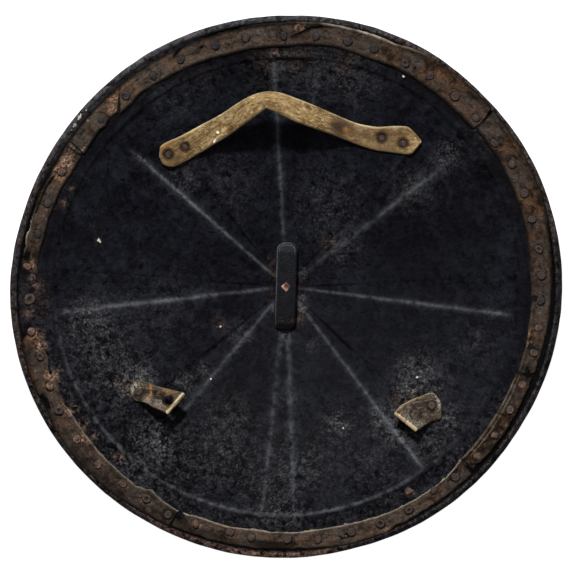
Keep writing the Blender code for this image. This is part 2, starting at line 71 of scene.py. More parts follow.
# Direction of each ray's middle and its width, in degrees
RAYS = ((-2.6, 9.4), (42.0, 10.5), (87.8, 12.0), (133.5, 10.0),
        (181.5, 10.5), (225.0, 11.0), (268.0, 8.2), (311.4, 9.4))

# How far the hammered rim strays from a true oval, in mm, every 15 degrees from +X
RIM_DRIFT = (1.1, 0.6, 0.6, -0.2, 1.6, 1.3, 0.3, 0.9, 0.9, -0.2, -1.0, -0.9,
             1.4, 1.3, 1.0, 0.3, -0.2, 0.3, 0.6, 0.3, 1.9, 1.8, 0.8, 1.4)


def oval(angle):
    """Share of the long radius that the oval has in this direction."""
    turn = angle - math.radians(LONG_AXIS_DEG)
    across = np.hypot(SHORT_DIAMETER * np.cos(turn), LONG_DIAMETER * np.sin(turn))
    return SHORT_DIAMETER / across


def drift(ring, angle):
    """How far the plate strays from the oval here."""
    around = np.degrees(angle) % 360
    marks = np.arange(0, 375, 15)
    strayed = np.interp(around, marks, RIM_DRIFT + RIM_DRIFT[:1])
    return MM * strayed * (ring / LONG_RADIUS) ** 6


def smoothstep(value):
    """Eases a value from 0 to 1."""
    value = np.clip(value, 0.0, 1.0)
    return value * value * (3 - 2 * value)


def hump(off, reach, power=2):
    """1 in the middle and softly down to 0 past this reach, sharper at higher powers."""
    return np.exp(-(off / reach) ** power)


def turn_from(middle, degrees):
    """How far a direction is turned from another one, from -180 to 180 degrees."""
    return (degrees - middle + 180) % 360 - 180


def pressed(ring, angle):
    """Depth of the rays here."""
    degrees = np.degrees(angle)
    deepest = np.zeros(np.broadcast(ring, angle).shape)
    for middle, width in RAYS:
        off = np.abs(turn_from(middle, degrees))
        inside = smoothstep((width / 2 + RAY_EDGE_DEG / 2 - off) / RAY_EDGE_DEG)
        deepest = np.maximum(deepest, inside)
    start = smoothstep((ring - 0.012) / 0.07)
    end = smoothstep((FIELD_RADIUS + 0.0015 - ring) / 0.004)
    return RAY_DEPTH * deepest * start * end


def outer_height(ring):
    """Height of the plate's lower face on a ring, without the rays."""
    dish = DISH_DEPTH * (np.minimum(ring, FIELD_RADIUS) / FIELD_RADIUS) ** DISH_POWER
    step_width = STEP_END - FIELD_RADIUS
    step = STEP_HEIGHT * smoothstep((ring - FIELD_RADIUS + 0.0006) / step_width)
    rise = BORDER_RISE * np.maximum(0.0, ring - STEP_END) / BORDER_WIDTH
    return PLATE_FOOT + dish + step + rise


def rough(points, size, seed=0.0):
    """Smooth random values from -1 to 1 at these points, with lumps of this size."""
    flat = np.asarray(points).reshape(-1, 3) / size + seed
    return np.array([noise.noise(Vector(place)) for place in flat]).reshape(np.shape(points)[:-1])


def grid_mesh(name, points, closed_rows=False, closed_columns=False):
    """A mesh of four-sided faces over an array of points in rows and columns."""
    rows, columns = points.shape[:2]
    number = np.arange(rows * columns).reshape(rows, columns)
    if closed_rows:
        number = np.vstack([number, number[:1]])
    if closed_columns:
        number = np.hstack([number, number[:, :1]])
    corners = (number[:-1, :-1], number[1:, :-1], number[1:, 1:], number[:-1, 1:])
    faces = np.stack([corner.ravel() for corner in corners], axis=1)
    mesh = bpy.data.meshes.new(name)
    mesh.from_pydata(points.reshape(-1, 3).tolist(), [], faces.tolist())
    mesh.shade_smooth()
    return mesh


def paint(mesh, name, values):
    """Keeps a value for each point of the mesh, which the material reads by name."""
    layer = mesh.attributes.new(name, "FLOAT", "POINT")
    layer.data.foreach_set("value", np.clip(values, 0.0, 1.0).astype(np.float32).ravel())


def patches(points, places, power=2):
    """Sum of round patches: middle in mm, radius in mm, strength; soft at power 2."""
    total = np.zeros(len(points))
    for x, y, radius, strength in places:
        far = np.hypot(points[:, 0] * 1000 - x, points[:, 1] * 1000 - y)
        total += strength * hump(far, radius, power)
    return total


def bring_in(name, data):
    """Brings a mesh, light or camera into the scene."""
    made = bpy.data.objects.new(name, data)
    bpy.context.scene.collection.objects.link(made)
    return made


def piece(name, mesh, finish):
    """An object of the shield, which rides on its only body."""
    made = bring_in(name, mesh)
    mesh.materials.clear()
    mesh.materials.append(finish.material)
    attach(made, "root")
    return made


# Directions of the lines of the plate's mesh, closest where a ray's crease runs
plate_lines = []
crease_steps = (-1.7, -1.15, -0.6, -0.2, 0.2, 0.6, 1.15, 1.7)
for index, (middle, width) in enumerate(RAYS):
    low, high = middle - width / 2, middle + width / 2
    after, after_width = RAYS[(index + 1) % len(RAYS)]
    next_low = (after - after_width / 2 - middle) % 360 + middle
    plate_lines += [low + off for off in crease_steps]
    plate_lines += list(np.linspace(low + 1.7, high - 1.7, 9)[1:-1])
    plate_lines += [high + off for off in crease_steps]
    plate_lines += list(np.linspace(high + 1.7, next_low - 1.7, 37)[1:-1])
plate_angles = np.radians(np.array(plate_lines))[:, None]

# Section of the sheet from the tang's hole over the inside, round the roll and back
# below, as rings and heights; the last value says how much of the rays a ring shows
inner_rings = np.concatenate([
    np.linspace(TANG_HOLE, FIELD_RADIUS - 0.002, 74),
    np.linspace(FIELD_RADIUS - 0.001, STEP_END + 0.001, 9),
    np.linspace(STEP_END + 0.003, BORDER_END - 0.001, 12),
])
roll_turns = np.radians(np.linspace(145, -90, 20))
roll_middle = (BORDER_END + EDGE_ROLL, float(outer_height(BORDER_END)) + EDGE_ROLL)
roll_rings = roll_middle[0] + EDGE_ROLL * np.cos(roll_turns)
roll_heights = roll_middle[1] + EDGE_ROLL * np.sin(roll_turns)
outer_rings = np.concatenate([
    np.linspace(BORDER_END - 0.003, STEP_END + 0.001, 7),
    np.linspace(STEP_END, FIELD_RADIUS - 0.001, 5),
    np.linspace(FIELD_RADIUS - 0.005, TANG_HOLE, 48),
])
plate_rings = np.concatenate([inner_rings, roll_rings, outer_rings])[None, :]
plate_heights = np.concatenate([
    outer_height(inner_rings) + SHEET, roll_heights, outer_height(outer_rings)])[None, :]
plate_radii = plate_rings * oval(plate_angles) + drift(plate_rings, plate_angles)
plate_points = np.stack([
    plate_radii * np.cos(plate_angles),
    plate_radii * np.sin(plate_angles),
    plate_heights - pressed(plate_rings, plate_angles),
], axis=-1)

# The hammer left low waves, larger near the rim, and the roll is dented
level = plate_points.copy()
level[..., 2] = 0
waves = rough(level, 0.028) * 0.00022
waves += rough(level, 0.011, 7) * 0.00009
plate_points[..., 2] += waves * smoothstep((plate_rings - 0.02) / 0.05)
dents = rough(level, 0.017, 3) * 0.0004
on_roll = smoothstep((plate_rings - BORDER_END) / 0.004)
plate_points[..., 0] += dents * on_roll * np.cos(plate_angles)
plate_points[..., 1] += dents * on_roll * np.sin(plate_angles)
plate_mesh = grid_mesh("iron_plate", plate_points, True, True)

# Bright creases, partly wear and partly painted highlight on their lit side: direction, strength, half
# width, first and last radius in mm
BRIGHT_CREASES = (
    (-7.2, 0.8, 1.2, 14, 243), (2.0, 0.10, 1.4, 60, 240), (37.0, 0.24, 2.4, 16, 130),
    (37.4, 0.42, 1.8, 120, 212), (48.0, 0.10, 1.4, 150, 225), (81.7, 0.16, 1.5, 185, 245),
    (93.2, 0.50, 1.5, 50, 250), (138.6, 0.85, 1.2, 14, 222), (186.5, 0.58, 1.6, 16, 243),
    (230.5, 0.50, 1.5, 20, 178), (176.2, 0.12, 1.2, 60, 235), (263.9, 0.50, 1.7, 45, 240),
    (272.0, 0.46, 1.9, 45, 240), (306.9, 0.72, 1.3, 14, 245), (315.8, 0.10, 1.2, 100, 160),
)
# Painted shade: dark lines on the side of a ray's crease that faces away from the light
SHADED_CREASES = (
    (2.0, 0.12, 2.2, 30, 240), (96.0, 0.25, 1.8, 60, 180), (175.6, 0.35, 1.8, 25, 240),
    (219.6, 0.15, 2.0, 25, 160), (228.8, 0.2, 1.8, 40, 175), (316.4, 0.25, 1.8, 25, 160),
    (268.0, 0.15, 5.0, 50, 240),
)
# Dust, paler than the iron, and rust, each as a middle in mm, a radius and a strength
DUST = (
    (-153, -98, 12, 1.0), (-168, -106, 9, 0.8), (-141, -159, 18, 0.5), (-130, -172, 12, 0.4),
    (-109, -103, 11, 0.5), (-88, -88, 8, 0.4), (-201, -50, 26, 0.28), (-183, -95, 34, 0.34),
    (-150, -182, 34, 0.32), (-77, -179, 40, 0.24), (-8, -205, 34, 0.25), (-60, -140, 22, 0.2),
    (55, -147, 14, 0.5), (139, -99, 22, 0.75), (128, -112, 10, 0.6), (104, -141, 14, 0.65),
    (118, -158, 10, 0.5), (171, -140, 13, 0.6), (150, -165, 18, 0.35), (60, 42, 18, 0.2),
    (47, 86, 34, 0.16), (10, 238, 38, 0.22), (70, 226, 30, 0.2), (-61, 110, 34, 0.1),
    (-109, 114, 14, 0.3), (135, 102, 18, 0.3), (170, 138, 13, 0.4), (-133, -18, 34, 0.08),
    (-208, -30, 20, 0.3), (25, -185, 20, 0.22), (200, -60, 20, 0.1), (-120, 205, 30, 0.1),
    (205, 160, 18, 0.2), (90, -190, 30, 0.15), (-48, -52, 12, 0.25), (15, -12, 5, 0.7),
    (16, 14, 5, 0.5), (0, -52, 6, 0.6), (-13, -22, 5, 0.4), (16, -26, 6, 0.6),
    (30, -62, 10, 0.15), (4, -120, 14, 0.12), (3, -240, 14, 0.3), (-20, -236, 14, 0.3),
)
# Pale flecks of paint or bare metal: middle and radius in mm
FLECKS = (
    (-198.4, 49.1, 1.3), (-196.8, 47.4, 0.8), (-216.6, 181.2, 0.9), (-217.8, 178.8, 1.5),
    (-219.0, 176.6, 0.8), (-222.7, 170.6, 1.3), (-224.2, 168.8, 0.8), (-211.0, 186.0, 0.7),
    (-226.2, 165.2, 0.6), (123.8, 222.1, 1.1), (-69.8, -42.6, 0.9), (60.5, -150.0, 0.7),
    (-80.0, -98.0, 0.8), (139.0, -96.0, 1.0),
)
# Crumbs of pink rust and old leather that stick to the iron
CRUMBS = (
    (-201.9, -157.7, 4, 0.5), (-224.6, -129.7, 5, 0.5), (-243.7, -93.5, 7, 0.7),
    (-257.3, -61.8, 5, 0.7), (-261.3, -50.8, 6, 0.8), (-262.5, 0.0, 6, 0.4),
    (-233.3, 89.6, 3, 0.9), (-227.4, 103.6, 3, 0.7), (130.3, -216.9, 4, 0.8),
    (-271.0, -28.0, 5, 0.5), (-214.0, -146.0, 6, 0.5), (-268.0, 12.0, 5, 0.5),
    (-177.0, -180.0, 6, 0.4), (-12.0, 246.0, 5, 0.5),
)
# Broad parts of the field painted darker; the two low on the field are painted shade against the light
# that falls strongest there
BLACKED = (
    (150, 15, 62, 0.42), (110, 60, 40, 0.25), (-60, 40, 40, 0.15), (60, -70, 45, 0.25),
    (0, -160, 80, 0.13), (-110, -120, 60, 0.16), (-150, 30, 34, 0.15), (110, -60, 40, 0.25),
    (190, 70, 34, 0.3), (-40, -100, 30, 0.2),
)
# The crown of the roll by the clockwise direction in degrees: how grey with wear and painted
# highlight, how rusty, how much painted shade, and how many mm of it show beside the leather
ROLL_LOOK = (
    (0, 0.24, 0.1, 0.0, 5.5), (15, 0.2, 0.1, 0.1, 5.0), (30, 0.1, 0.5, 0.0, 4.0),
    (60, 0.06, 0.4, 0.1, 4.0), (75, 0.05, 0.4, 0.2, 4.5), (85, 0.03, 0.3, 0.55, 6.0),
    (100, 0.06, 0.15, 0.6, 5.0), (112, 0.02, 0.2, 0.65, 4.0), (120, 0.08, 0.3, 0.35, 4.2),
    (132, 0.0, 0.2, 0.65, 4.0), (165, 0.0, 0.2, 0.55, 4.5), (172, 0.1, 0.9, 0.1, 5.4),
    (190, 0.1, 1.0, 0.0, 5.6), (206, 0.08, 0.8, 0.0, 5.0), (214, 0.02, 0.4, 0.3, 4.5),
    (240, 0.02, 0.2, 0.5, 3.8), (250, 0.06, 0.6, 0.1, 4.5), (262, 0.1, 0.6, 0.2, 6.0),
    (270, 0.1, 0.3, 0.3, 6.5), (284, 0.2, 0.5, 0.1, 7.2), (300, 0.3, 0.4, 0.0, 8.4),
    (315, 0.46, 0.3, 0.0, 8.7), (330, 0.5, 0.3, 0.0, 8.7), (350, 0.5, 0.1, 0.0, 7.5),
    (360, 0.24, 0.1, 0.0, 5.5),
)
# Where the iron is deeply pitted under old blacking
PITTED = (
    (-62, 228, 26, 1.0), (-30, 222, 18, 0.8), (-20, 202, 16, 0.5), (-150, 140, 16, 0.5),
    (-196, -78, 26, 0.7), (-150, -168, 34, 1.0), (-190, -120, 22, 0.8), (-110, -196, 30, 0.8),
    (-128, -128, 26, 0.7), (-60, -208, 30, 0.6), (10, -228, 26, 0.6), (85, -215, 26, 0.5),
    (150, -180, 22, 0.5), (140, -125, 26, 0.4), (205, 118, 14, 0.7), (190, 150, 16, 0.5),
    (30, 58, 30, 0.25), (70, 232, 24, 0.4), (-218, 10, 18, 0.3), (215, -40, 20, 0.3),
    (-146, -208, 12, 0.8), (-180, -180, 13, 0.9), (-208, -146, 13, 0.9), (-230, -107, 12, 0.8),
)
# Rust on the field and the border
RUST = (
    (-70, -40, 7, 0.5), (46, 47, 8, 0.45), (-170, -105, 9, 0.4), (133, -118, 8, 0.4),
    (-15, 14, 5, 0.5), (-15, 28, 5, 0.4), (16, -2, 4, 0.4), (16, -12, 4, 0.4), (16, -22, 4, 0.4),
    (16, 10, 4, 0.3), (-16, -10, 5, 0.4), (15, -34, 6, 0.6), (12, 243, 14, 0.4),
    (-22, 238, 12, 0.35), (62, 235, 14, 0.35), (-199, 49, 3, 0.5),
    (-236, 88, 5, 0.8), (118, -121, 8, 0.4), (-84, 222, 10, 0.2),
)


def crease_values(points, creases):
    """Strength of these creases at each point of the plate."""
    angle = np.arctan2(points[:, 1], points[:, 0])
    radius = np.hypot(points[:, 0], points[:, 1]) * 1000
    total = np.zeros(len(points))
    for degrees, strength, half_width, first, last in creases:
        off = radius * np.radians(turn_from(degrees, np.degrees(angle)))
        along = smoothstep((radius - first + 6) / 12) * smoothstep((last - radius) / 16)
        reach = half_width * (1.35 - 0.2 * smoothstep(radius / 120))
        line = hump(off, reach)
        line += 0.3 * smoothstep((radius - 40) / 80) * hump(off / reach, 3)
        faded = 0.58 + 0.34 * smoothstep(radius / 110)
        total = np.maximum(total, strength * faded * along * line / 1.2)
    return total


flat_points = plate_points.reshape(-1, 3)
clock_deg = (90 - np.degrees(np.arctan2(flat_points[:, 1], flat_points[:, 0]))) % 360
ring_of = np.broadcast_to(plate_rings, plate_radii.shape).ravel()
inside = np.zeros(plate_rings.shape[1])
inside[:len(inner_rings)] = 1
inside = np.broadcast_to(inside[None, :], plate_radii.shape).ravel()
low_side = smoothstep((np.cos(np.radians(clock_deg - 190)) + 0.1) / 0.7)
step_line = hump(ring_of - FIELD_RADIUS - 0.0008, 0.0018)
worn = crease_values(flat_points, BRIGHT_CREASES) * inside
# Painted highlight on the step between field and border, towards the lower left where its wall faces
# the light
line_side = smoothstep((np.cos(np.radians(clock_deg - 202)) - 0.3) / 0.5)
worn = np.maximum(worn, step_line * (0.06 + 0.46 * line_side) * inside)
worn = np.maximum(worn, 0.16 * (1 - inside) * step_line)
sooted = crease_values(flat_points, SHADED_CREASES) * inside
# Painted shade on the step in the upper half, where its wall faces away from the light
top_step = hump(ring_of - FIELD_RADIUS - 0.003, 0.005)
sooted = np.maximum(sooted, top_step * (1 - low_side) * 0.3 * inside)
sooted = np.maximum(sooted, patches(flat_points, BLACKED) * inside)
outside_field = smoothstep((ring_of - STEP_END) / 0.004)
bare = hump(clock_deg - 267, 5.5, 4)
under_leather = smoothstep((ring_of - 0.2695) / 0.001) * (1 - bare)
under_leather = np.maximum(under_leather, smoothstep((ring_of - BORDER_END + 0.003) / 0.002))
marks, roll_grey_and_highlight, roll_rust, roll_shade, crown_width = zip(*ROLL_LOOK)
crown_start = BORDER_END + 2 * EDGE_ROLL - MM * np.interp(clock_deg, marks, crown_width)
roll_crown = smoothstep((ring_of - crown_start) / 0.001)
# Dust patches, and a paler tone towards the lower side, more on the border
dust = 0.7 * patches(flat_points, DUST) + 0.08 * low_side * outside_field
dust += 0.015 * low_side * smoothstep((ring_of - 0.08) / 0.12)
dust *= 1 - roll_crown
dust = np.where(inside > 0, dust, 0.25)
rim_rust = smoothstep((ring_of - BORDER_END + 0.002) / 0.003)
# Painted shade in the gap between the leather and the roll, and under the leather
sooted = np.maximum(sooted, 0.95 * under_leather * (1 - roll_crown) * inside)
leather_shadow = hump(ring_of - 0.2555, 0.004) * (1 - low_side)
sooted = np.maximum(sooted, 0.6 * leather_shadow * inside)
# Grey wear with painted highlight on the roll's crown, and painted shade on it, as ROLL_LOOK gives
worn = np.maximum(worn, np.interp(clock_deg, marks, roll_grey_and_highlight) * roll_crown)
sooted = np.maximum(sooted, np.interp(clock_deg, marks, roll_shade) * roll_crown)
pitted = 0.12 + patches(flat_points, PITTED) + 0.5 * outside_field * low_side
pitted += 0.5 * roll_crown
rust = patches(flat_points, RUST) * inside + 0.15 * bare * outside_field
rust = np.maximum(rust, rim_rust * np.interp(clock_deg, marks, roll_rust))
pink_roll = 0.75 * hump(clock_deg - 183, 13, 4) * roll_crown
crumbs = patches(flat_points, CRUMBS, 4) * inside + pink_roll
for name, values in (("worn", worn), ("sooted", sooted), ("dust", dust), ("rust", rust),
                     ("pitted", pitted), ("crumbs", crumbs)):
    paint(plate_mesh, name, values)


def tone(red, green, blue):
    """A colour given as it looks, from 0 to 255, as the shader wants it."""
    parts = [part / 255 for part in (red, green, blue)]
    linear = [p / 12.92 if p <= 0.04045 else ((p + 0.055) / 1.055) ** 2.4 for p in parts]
    return (*linear, 1.0)


def put(tree, value, socket):
    """Joins a value of the tree, or sets a plain number, on this input."""
    if isinstance(value, Value):
        tree.links.new(value.socket, socket)
    else:
        socket.default_value = tone(*value) if isinstance(value, tuple) else value


class Value:
    """A value or colour in a material's nodes. Sums and differences stay from 0 to 1."""

    def __init__(self, tree, socket):
        self.tree = tree
        self.socket = socket

    def math(self, operation, other):
        """What an operation makes of this and another value or number."""
        made = self.tree.nodes.new("ShaderNodeMath")
        made.operation = operation
        made.use_clamp = operation in ("ADD", "SUBTRACT")
        put(self.tree, self, made.inputs[0])
        put(self.tree, other, made.inputs[1])
        return Value(self.tree, made.outputs["Value"])

    def __mul__(self, other):
        return self.math("MULTIPLY", other)

    def __add__(self, other):
        return self.math("ADD", other)

    def __sub__(self, other):
        return self.math("SUBTRACT", other)

    def ramp(self, low, high):
        """The value's way from low to high, as 0 to 1."""
        made = self.tree.nodes.new("ShaderNodeMapRange")
        made.inputs["From Min"].default_value = low
        made.inputs["From Max"].default_value = high
        put(self.tree, self, made.inputs["Value"])
        return Value(self.tree, made.outputs["Result"])


class Finish:
    """A material that is built up of grains and of coats of colour."""

    def __init__(self, name, roughness, shine):
        self.material = bpy.data.materials.new(name)
        self.material.use_nodes = True
        self.tree = self.material.node_tree
        self.shader = self.tree.nodes["Principled BSDF"]
        self.shader.inputs["Roughness"].default_value = roughness
        self.shader.inputs["Specular IOR Level"].default_value = shine
        self.colour = None

    def noise(self, place, detail, roughness, twist):
        """Random values from 0 to 1, with lumps as large as one step of the place."""
        made = self.tree.nodes.new("ShaderNodeTexNoise")
        made.inputs["Scale"].default_value = 1.0
        made.inputs["Detail"].default_value = detail
        made.inputs["Roughness"].default_value = roughness
        made.inputs["Distortion"].default_value = twist
        self.tree.links.new(place, made.inputs["Vector"])
        return Value(self.tree, made.outputs["Fac"])

    def grain(self, size, detail=4.0, roughness=0.6, stretch=(1, 1, 1), twist=0.0):
        """Random grain whose lumps have about this size in metres."""
        place = self.tree.nodes.new("ShaderNodeTexCoord")
        scale = self.tree.nodes.new("ShaderNodeMapping")
        scale.inputs["Scale"].default_value = [part / size for part in stretch]
        self.tree.links.new(place.outputs["Object"], scale.inputs["Vector"])
        return self.noise(scale.outputs["Vector"], detail, roughness, twist)

    def painted(self, name):
        """The value that was painted on the mesh under this name."""
        made = self.tree.nodes.new("ShaderNodeAttribute")
        made.attribute_name = name
        return Value(self.tree, made.outputs["Fac"])

    def mix(self, share, below, above):
        """One colour over another by this share."""
        made = self.tree.nodes.new("ShaderNodeMix")
        made.data_type = "RGBA"
        put(self.tree, share, made.inputs["Factor"])
        put(self.tree, below, made.inputs[6])
        put(self.tree, above, made.inputs[7])
        return Value(self.tree, made.outputs[2])

    def coat(self, share, above):
        """Lays a colour over all that are there so far, by this share."""
        self.colour = self.mix(share, self.colour, above)

    def spots(self, places, ragged):
        """Small flecks, each a middle and a radius in mm, which some grain makes ragged."""
        place = self.tree.nodes.new("ShaderNodeTexCoord")
        flat = self.tree.nodes.new("ShaderNodeVectorMath")
        flat.operation = "MULTIPLY"
        flat.inputs[1].default_value = (1000, 1000, 0)
        self.tree.links.new(place.outputs["Object"], flat.inputs[0])
        total = None
        for x, y, radius in places:
            far = self.tree.nodes.new("ShaderNodeVectorMath")
            far.operation = "DISTANCE"
            far.inputs[1].default_value = (x, y, 0)
            self.tree.links.new(flat.outputs["Vector"], far.inputs[0])
            bent = Value(self.tree, far.outputs["Value"]) * ragged
            near = bent.ramp(radius * 0.62, radius * 0.42)
            total = total.math("MAXIMUM", near) if total else near
        return total

    def surface(self, *layers):
        """Joins the colour and a relief of layers, each a height from 0 to 1 and its depth."""
        self.tree.links.new(self.colour.socket, self.shader.inputs["Base Color"])
        below = None
        for height, depth in layers:
            made = self.tree.nodes.new("ShaderNodeBump")
            made.inputs["Distance"].default_value = depth
            made.inputs["Strength"].default_value = 1.0
            put(self.tree, height, made.inputs["Height"])
            if below:
                self.tree.links.new(below, made.inputs["Normal"])
            below = made.outputs["Normal"]
        self.tree.links.new(below, self.shader.inputs["Normal"])


iron = Finish("plate_iron", 0.62, 0.04)
clouds = iron.grain(0.075, 6, 0.6)
mottle = iron.grain(0.016, 6, 0.7, twist=0.4)
lumps = iron.grain(0.0062, 6, 0.8, twist=0.5)
fine = iron.grain(0.0026, 4, 0.78)
pits = iron.painted("pitted")
dusty = iron.painted("dust") + 0.02
iron.colour = iron.mix(clouds.ramp(0.36, 0.62), (4, 4, 9), (12, 13, 19))
iron.coat(mottle.ramp(0.46, 0.72), (26, 27, 35))
iron.coat(lumps.ramp(0.47, 0.36), (1, 1, 3))
speckle = lumps.ramp(0.44, 0.6) * fine.ramp(0.46, 0.64) * dusty
iron.coat(speckle * 2.2, (112, 111, 109))
powder = mottle.ramp(0.36, 0.6) * iron.painted("dust") * lumps.ramp(0.36, 0.56)
iron.coat(powder * 0.45, (92, 91, 93))
# Wear with painted highlight on the creases, the step and the roll
rubbed_and_lit = iron.painted("worn") * mottle.ramp(0.26, 0.58) * lumps.ramp(0.28, 0.56)
iron.coat(rubbed_and_lit, (98, 100, 105))
rust_tone = iron.mix(fine.ramp(0.4, 0.6), (40, 27, 21), (98, 72, 58))
iron.coat(iron.painted("rust") * lumps.ramp(0.42, 0.58), rust_tone)
crumb_tone = iron.mix(fine.ramp(0.4, 0.6), (78, 56, 48), (146, 120, 104))
iron.coat(iron.painted("crumbs") * lumps.ramp(0.46, 0.56), crumb_tone)
iron.coat(pits * lumps.ramp(0.50, 0.40), (0, 0, 1))
# Painted shade in creases, on the upper step, in the gap by the roll and on the roll, and broad darker
# patches of the field
iron.coat(iron.painted("sooted"), (1, 1, 2))
iron.coat(iron.spots(FLECKS, iron.grain(0.0011, 2, 0.6)), (188, 186, 174))
put(iron.tree, dusty * 0.3 + 0.5, iron.shader.inputs["Roughness"])
iron.surface((mottle, 0.0007), (lumps * (pits + 0.15), 0.0026), (fine, 0.00025))

iron_plate = piece("iron_plate", plate_mesh, iron)
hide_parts("shield_plate")

# The lining: seven strips of thick vegetable-tanned leather round the border, cut by hand,
# now dry, worn and rust stained, and torn where they have given way. Rivets hold them.
# Directions are clockwise from the top in degrees, and radii and thicknesses in mm

INNER_EDGE = (
    (-46, 252.5), (-40, 252.5), (-37, 255.2), (-32, 253.6), (-26, 253.1), (-20, 253.1),
    (-15, 252.0), (-8, 253.1), (0, 253.1), (4, 255.2), (11, 257.8), (20, 255.2),
    (26, 257.3), (34, 256.7), (43.5, 256.7), (50, 257.3), (50.5, 259.9), (62, 259.9),
    (70, 258.9), (78, 258.9), (84, 257.8), (92, 259.4), (99, 259.4), (104, 260.5),
    (108, 260), (111, 262.3), (120, 262.6), (134, 263.2), (134.5, 258.9), (136, 259.9),
    (140, 262.5), (148, 262.5), (155, 262.0), (160, 260.4), (168, 258.3), (172, 258.3),
    (178, 259.4), (183, 259.4), (188, 258.3), (193, 260.4), (200, 259.4), (204, 262.5),
    (206, 262.5), (210, 260.4), (213.5, 257.3), (215.5, 260.4), (217, 262.8), (240, 263.2),
    (243, 265.5), (247, 262.0), (250, 266.0), (254, 263.0), (257, 267.0), (260, 263.5),
    (262, 266.5), (272, 263), (278, 262.5), (281, 260.4), (285, 260.4), (289, 258.9),
    (293, 258.9), (297.5, 255.7), (302.5, 255.6), (303.5, 255.2), (306, 255.2),
    (310, 256.7), (311.5, 254.6), (314, 257.3), (316, 258.5),
)
OUTER_EDGE = (
    (-46, 274.8), (-30, 275.4), (-15, 275.6), (0, 278.2), (8, 279.6), (24, 280.2),
    (30, 285.0), (40, 286.4), (60, 287.2), (73, 286.4), (78, 282.6), (92, 279.9),
    (98, 279.4), (103, 278.6), (110, 277.4), (130, 276.8), (134, 275.6), (134.5, 279.0),
    (138, 277.6), (156, 277.4), (158.5, 281.0), (160.5, 278.9), (166, 279.8), (172, 277.4),
    (180, 276.0), (186, 277.2), (200, 278.4), (205, 279.2), (207, 281.0), (211, 280.8),
    (215, 281.8), (220, 284.2), (230, 286.2), (238, 286.4), (242, 283.0), (244, 281.2),
    (247, 285.8), (255, 285.4), (260, 284.0), (262, 281.0), (272, 280.0), (279, 279.0),
    (285, 277.8), (291, 278.4), (293, 276.2), (300, 275.6), (322, 275.0),
)
# How ragged the outer edge is, and how far the inner edge curls up, both in mm
OUTER_RAGS = (
    (-50, 1.3), (-5, 1.3), (5, 0.5), (75, 0.4), (95, 1.2), (108, 1.4), (130, 0.8), (160, 1.2),
    (200, 0.9), (215, 0.6), (235, 0.6), (245, 1.4), (272, 1.4), (316, 1.3),
)
CURLED_EDGE = (
    (-50, 1.6), (-25, 1.4), (0, 1.4), (30, 1.6), (50, 1.6), (56, 0.7), (108, 0.4),
    (114, 1.3), (134, 1.3), (137, 0.3), (205, 0.4), (214, 0.9), (220, 0.3), (262, 0.5),
    (272, 2.0), (296, 2.4), (303, 1.2), (316, 1.0),
)
# Name, first and last direction, thickness, how far it starts above the plate, how ragged
# its inner edge is, how far its ends lean at the outer edge, and how round its last end is
LINING_STRIPS = (
    ("lining_top", -44.0, 50.3, 2.4, 0.3, 0.5, (4.5, -0.9), 0.6),
    ("lining_right", 50.6, 110.4, 2.3, 0.3, 0.6, (-0.9, -1.0), 0.3),
    ("lining_patch_right", 110.8, 133.8, 2.5, 1.8, 0.35, (-0.6, 0.0), 1.6),
    ("lining_bottom", 134.7, 205.2, 2.4, 0.3, 0.5, (0.6, 0.6), 0.3),
    ("lining_lower_left", 205.6, 260.6, 2.1, 0.3, 1.0, (0.6, -1.0), 1.2),
    ("lining_left", 272.6, 302.4, 2.5, 0.3, 0.45, (1.2, 0.3), 0.0),
    ("lining_patch_left", 303.2, 314.6, 2.3, 2.1, 0.25, (0.8, -1.8), 1.3),
)
# Rows of a strip's mesh are this far apart, and it has this many columns
LINING_STEP_DEG = 0.28
LINING_COLUMNS = 20
# Length of one degree along the border in metres, and the usual width of the lining in mm
LINING_DEGREE = 0.0045
LINING_WIDTH = 20
# Where the lining starts to climb the rolled edge, over what length, and how high it gets
CLIMB_START = 0.2793
CLIMB_LENGTH = 0.0062
CLIMB_HEIGHT = 0.0049
# Tears and holes: two ends as direction and radius, and half the width in mm
TEARS = (
    ((1.3, 263.0), (5.6, 274.5), 0.9), ((4.4, 273.0), (8.0, 276.5), 0.6),
    ((-25.8, 270.5), (-23.2, 276.8), 1.5), ((-19.6, 267.8), (-19.4, 268.0), 1.1),
    ((30.5, 267.3), (30.6, 267.3), 0.9), ((103.5, 264.0), (104.4, 268.6), 1.1),
    ((108.8, 267.8), (110.4, 273.2), 0.9), ((92.6, 259.5), (92.9, 264.5), 1.0),
    ((139.5, 268.0), (137.0, 263.6), 0.5), ((243.6, 279.5), (245.0, 283.5), 1.2),
    ((286.5, 275.2), (293.5, 274.0), 0.5), ((294.0, 271.6), (294.6, 272.4), 1.0),
    ((276.6, 273.0), (276.9, 277.8), 0.8), ((204.6, 263.0), (205.3, 270.5), 0.9),
    ((158.2, 272.0), (158.4, 272.0), 0.7),
)
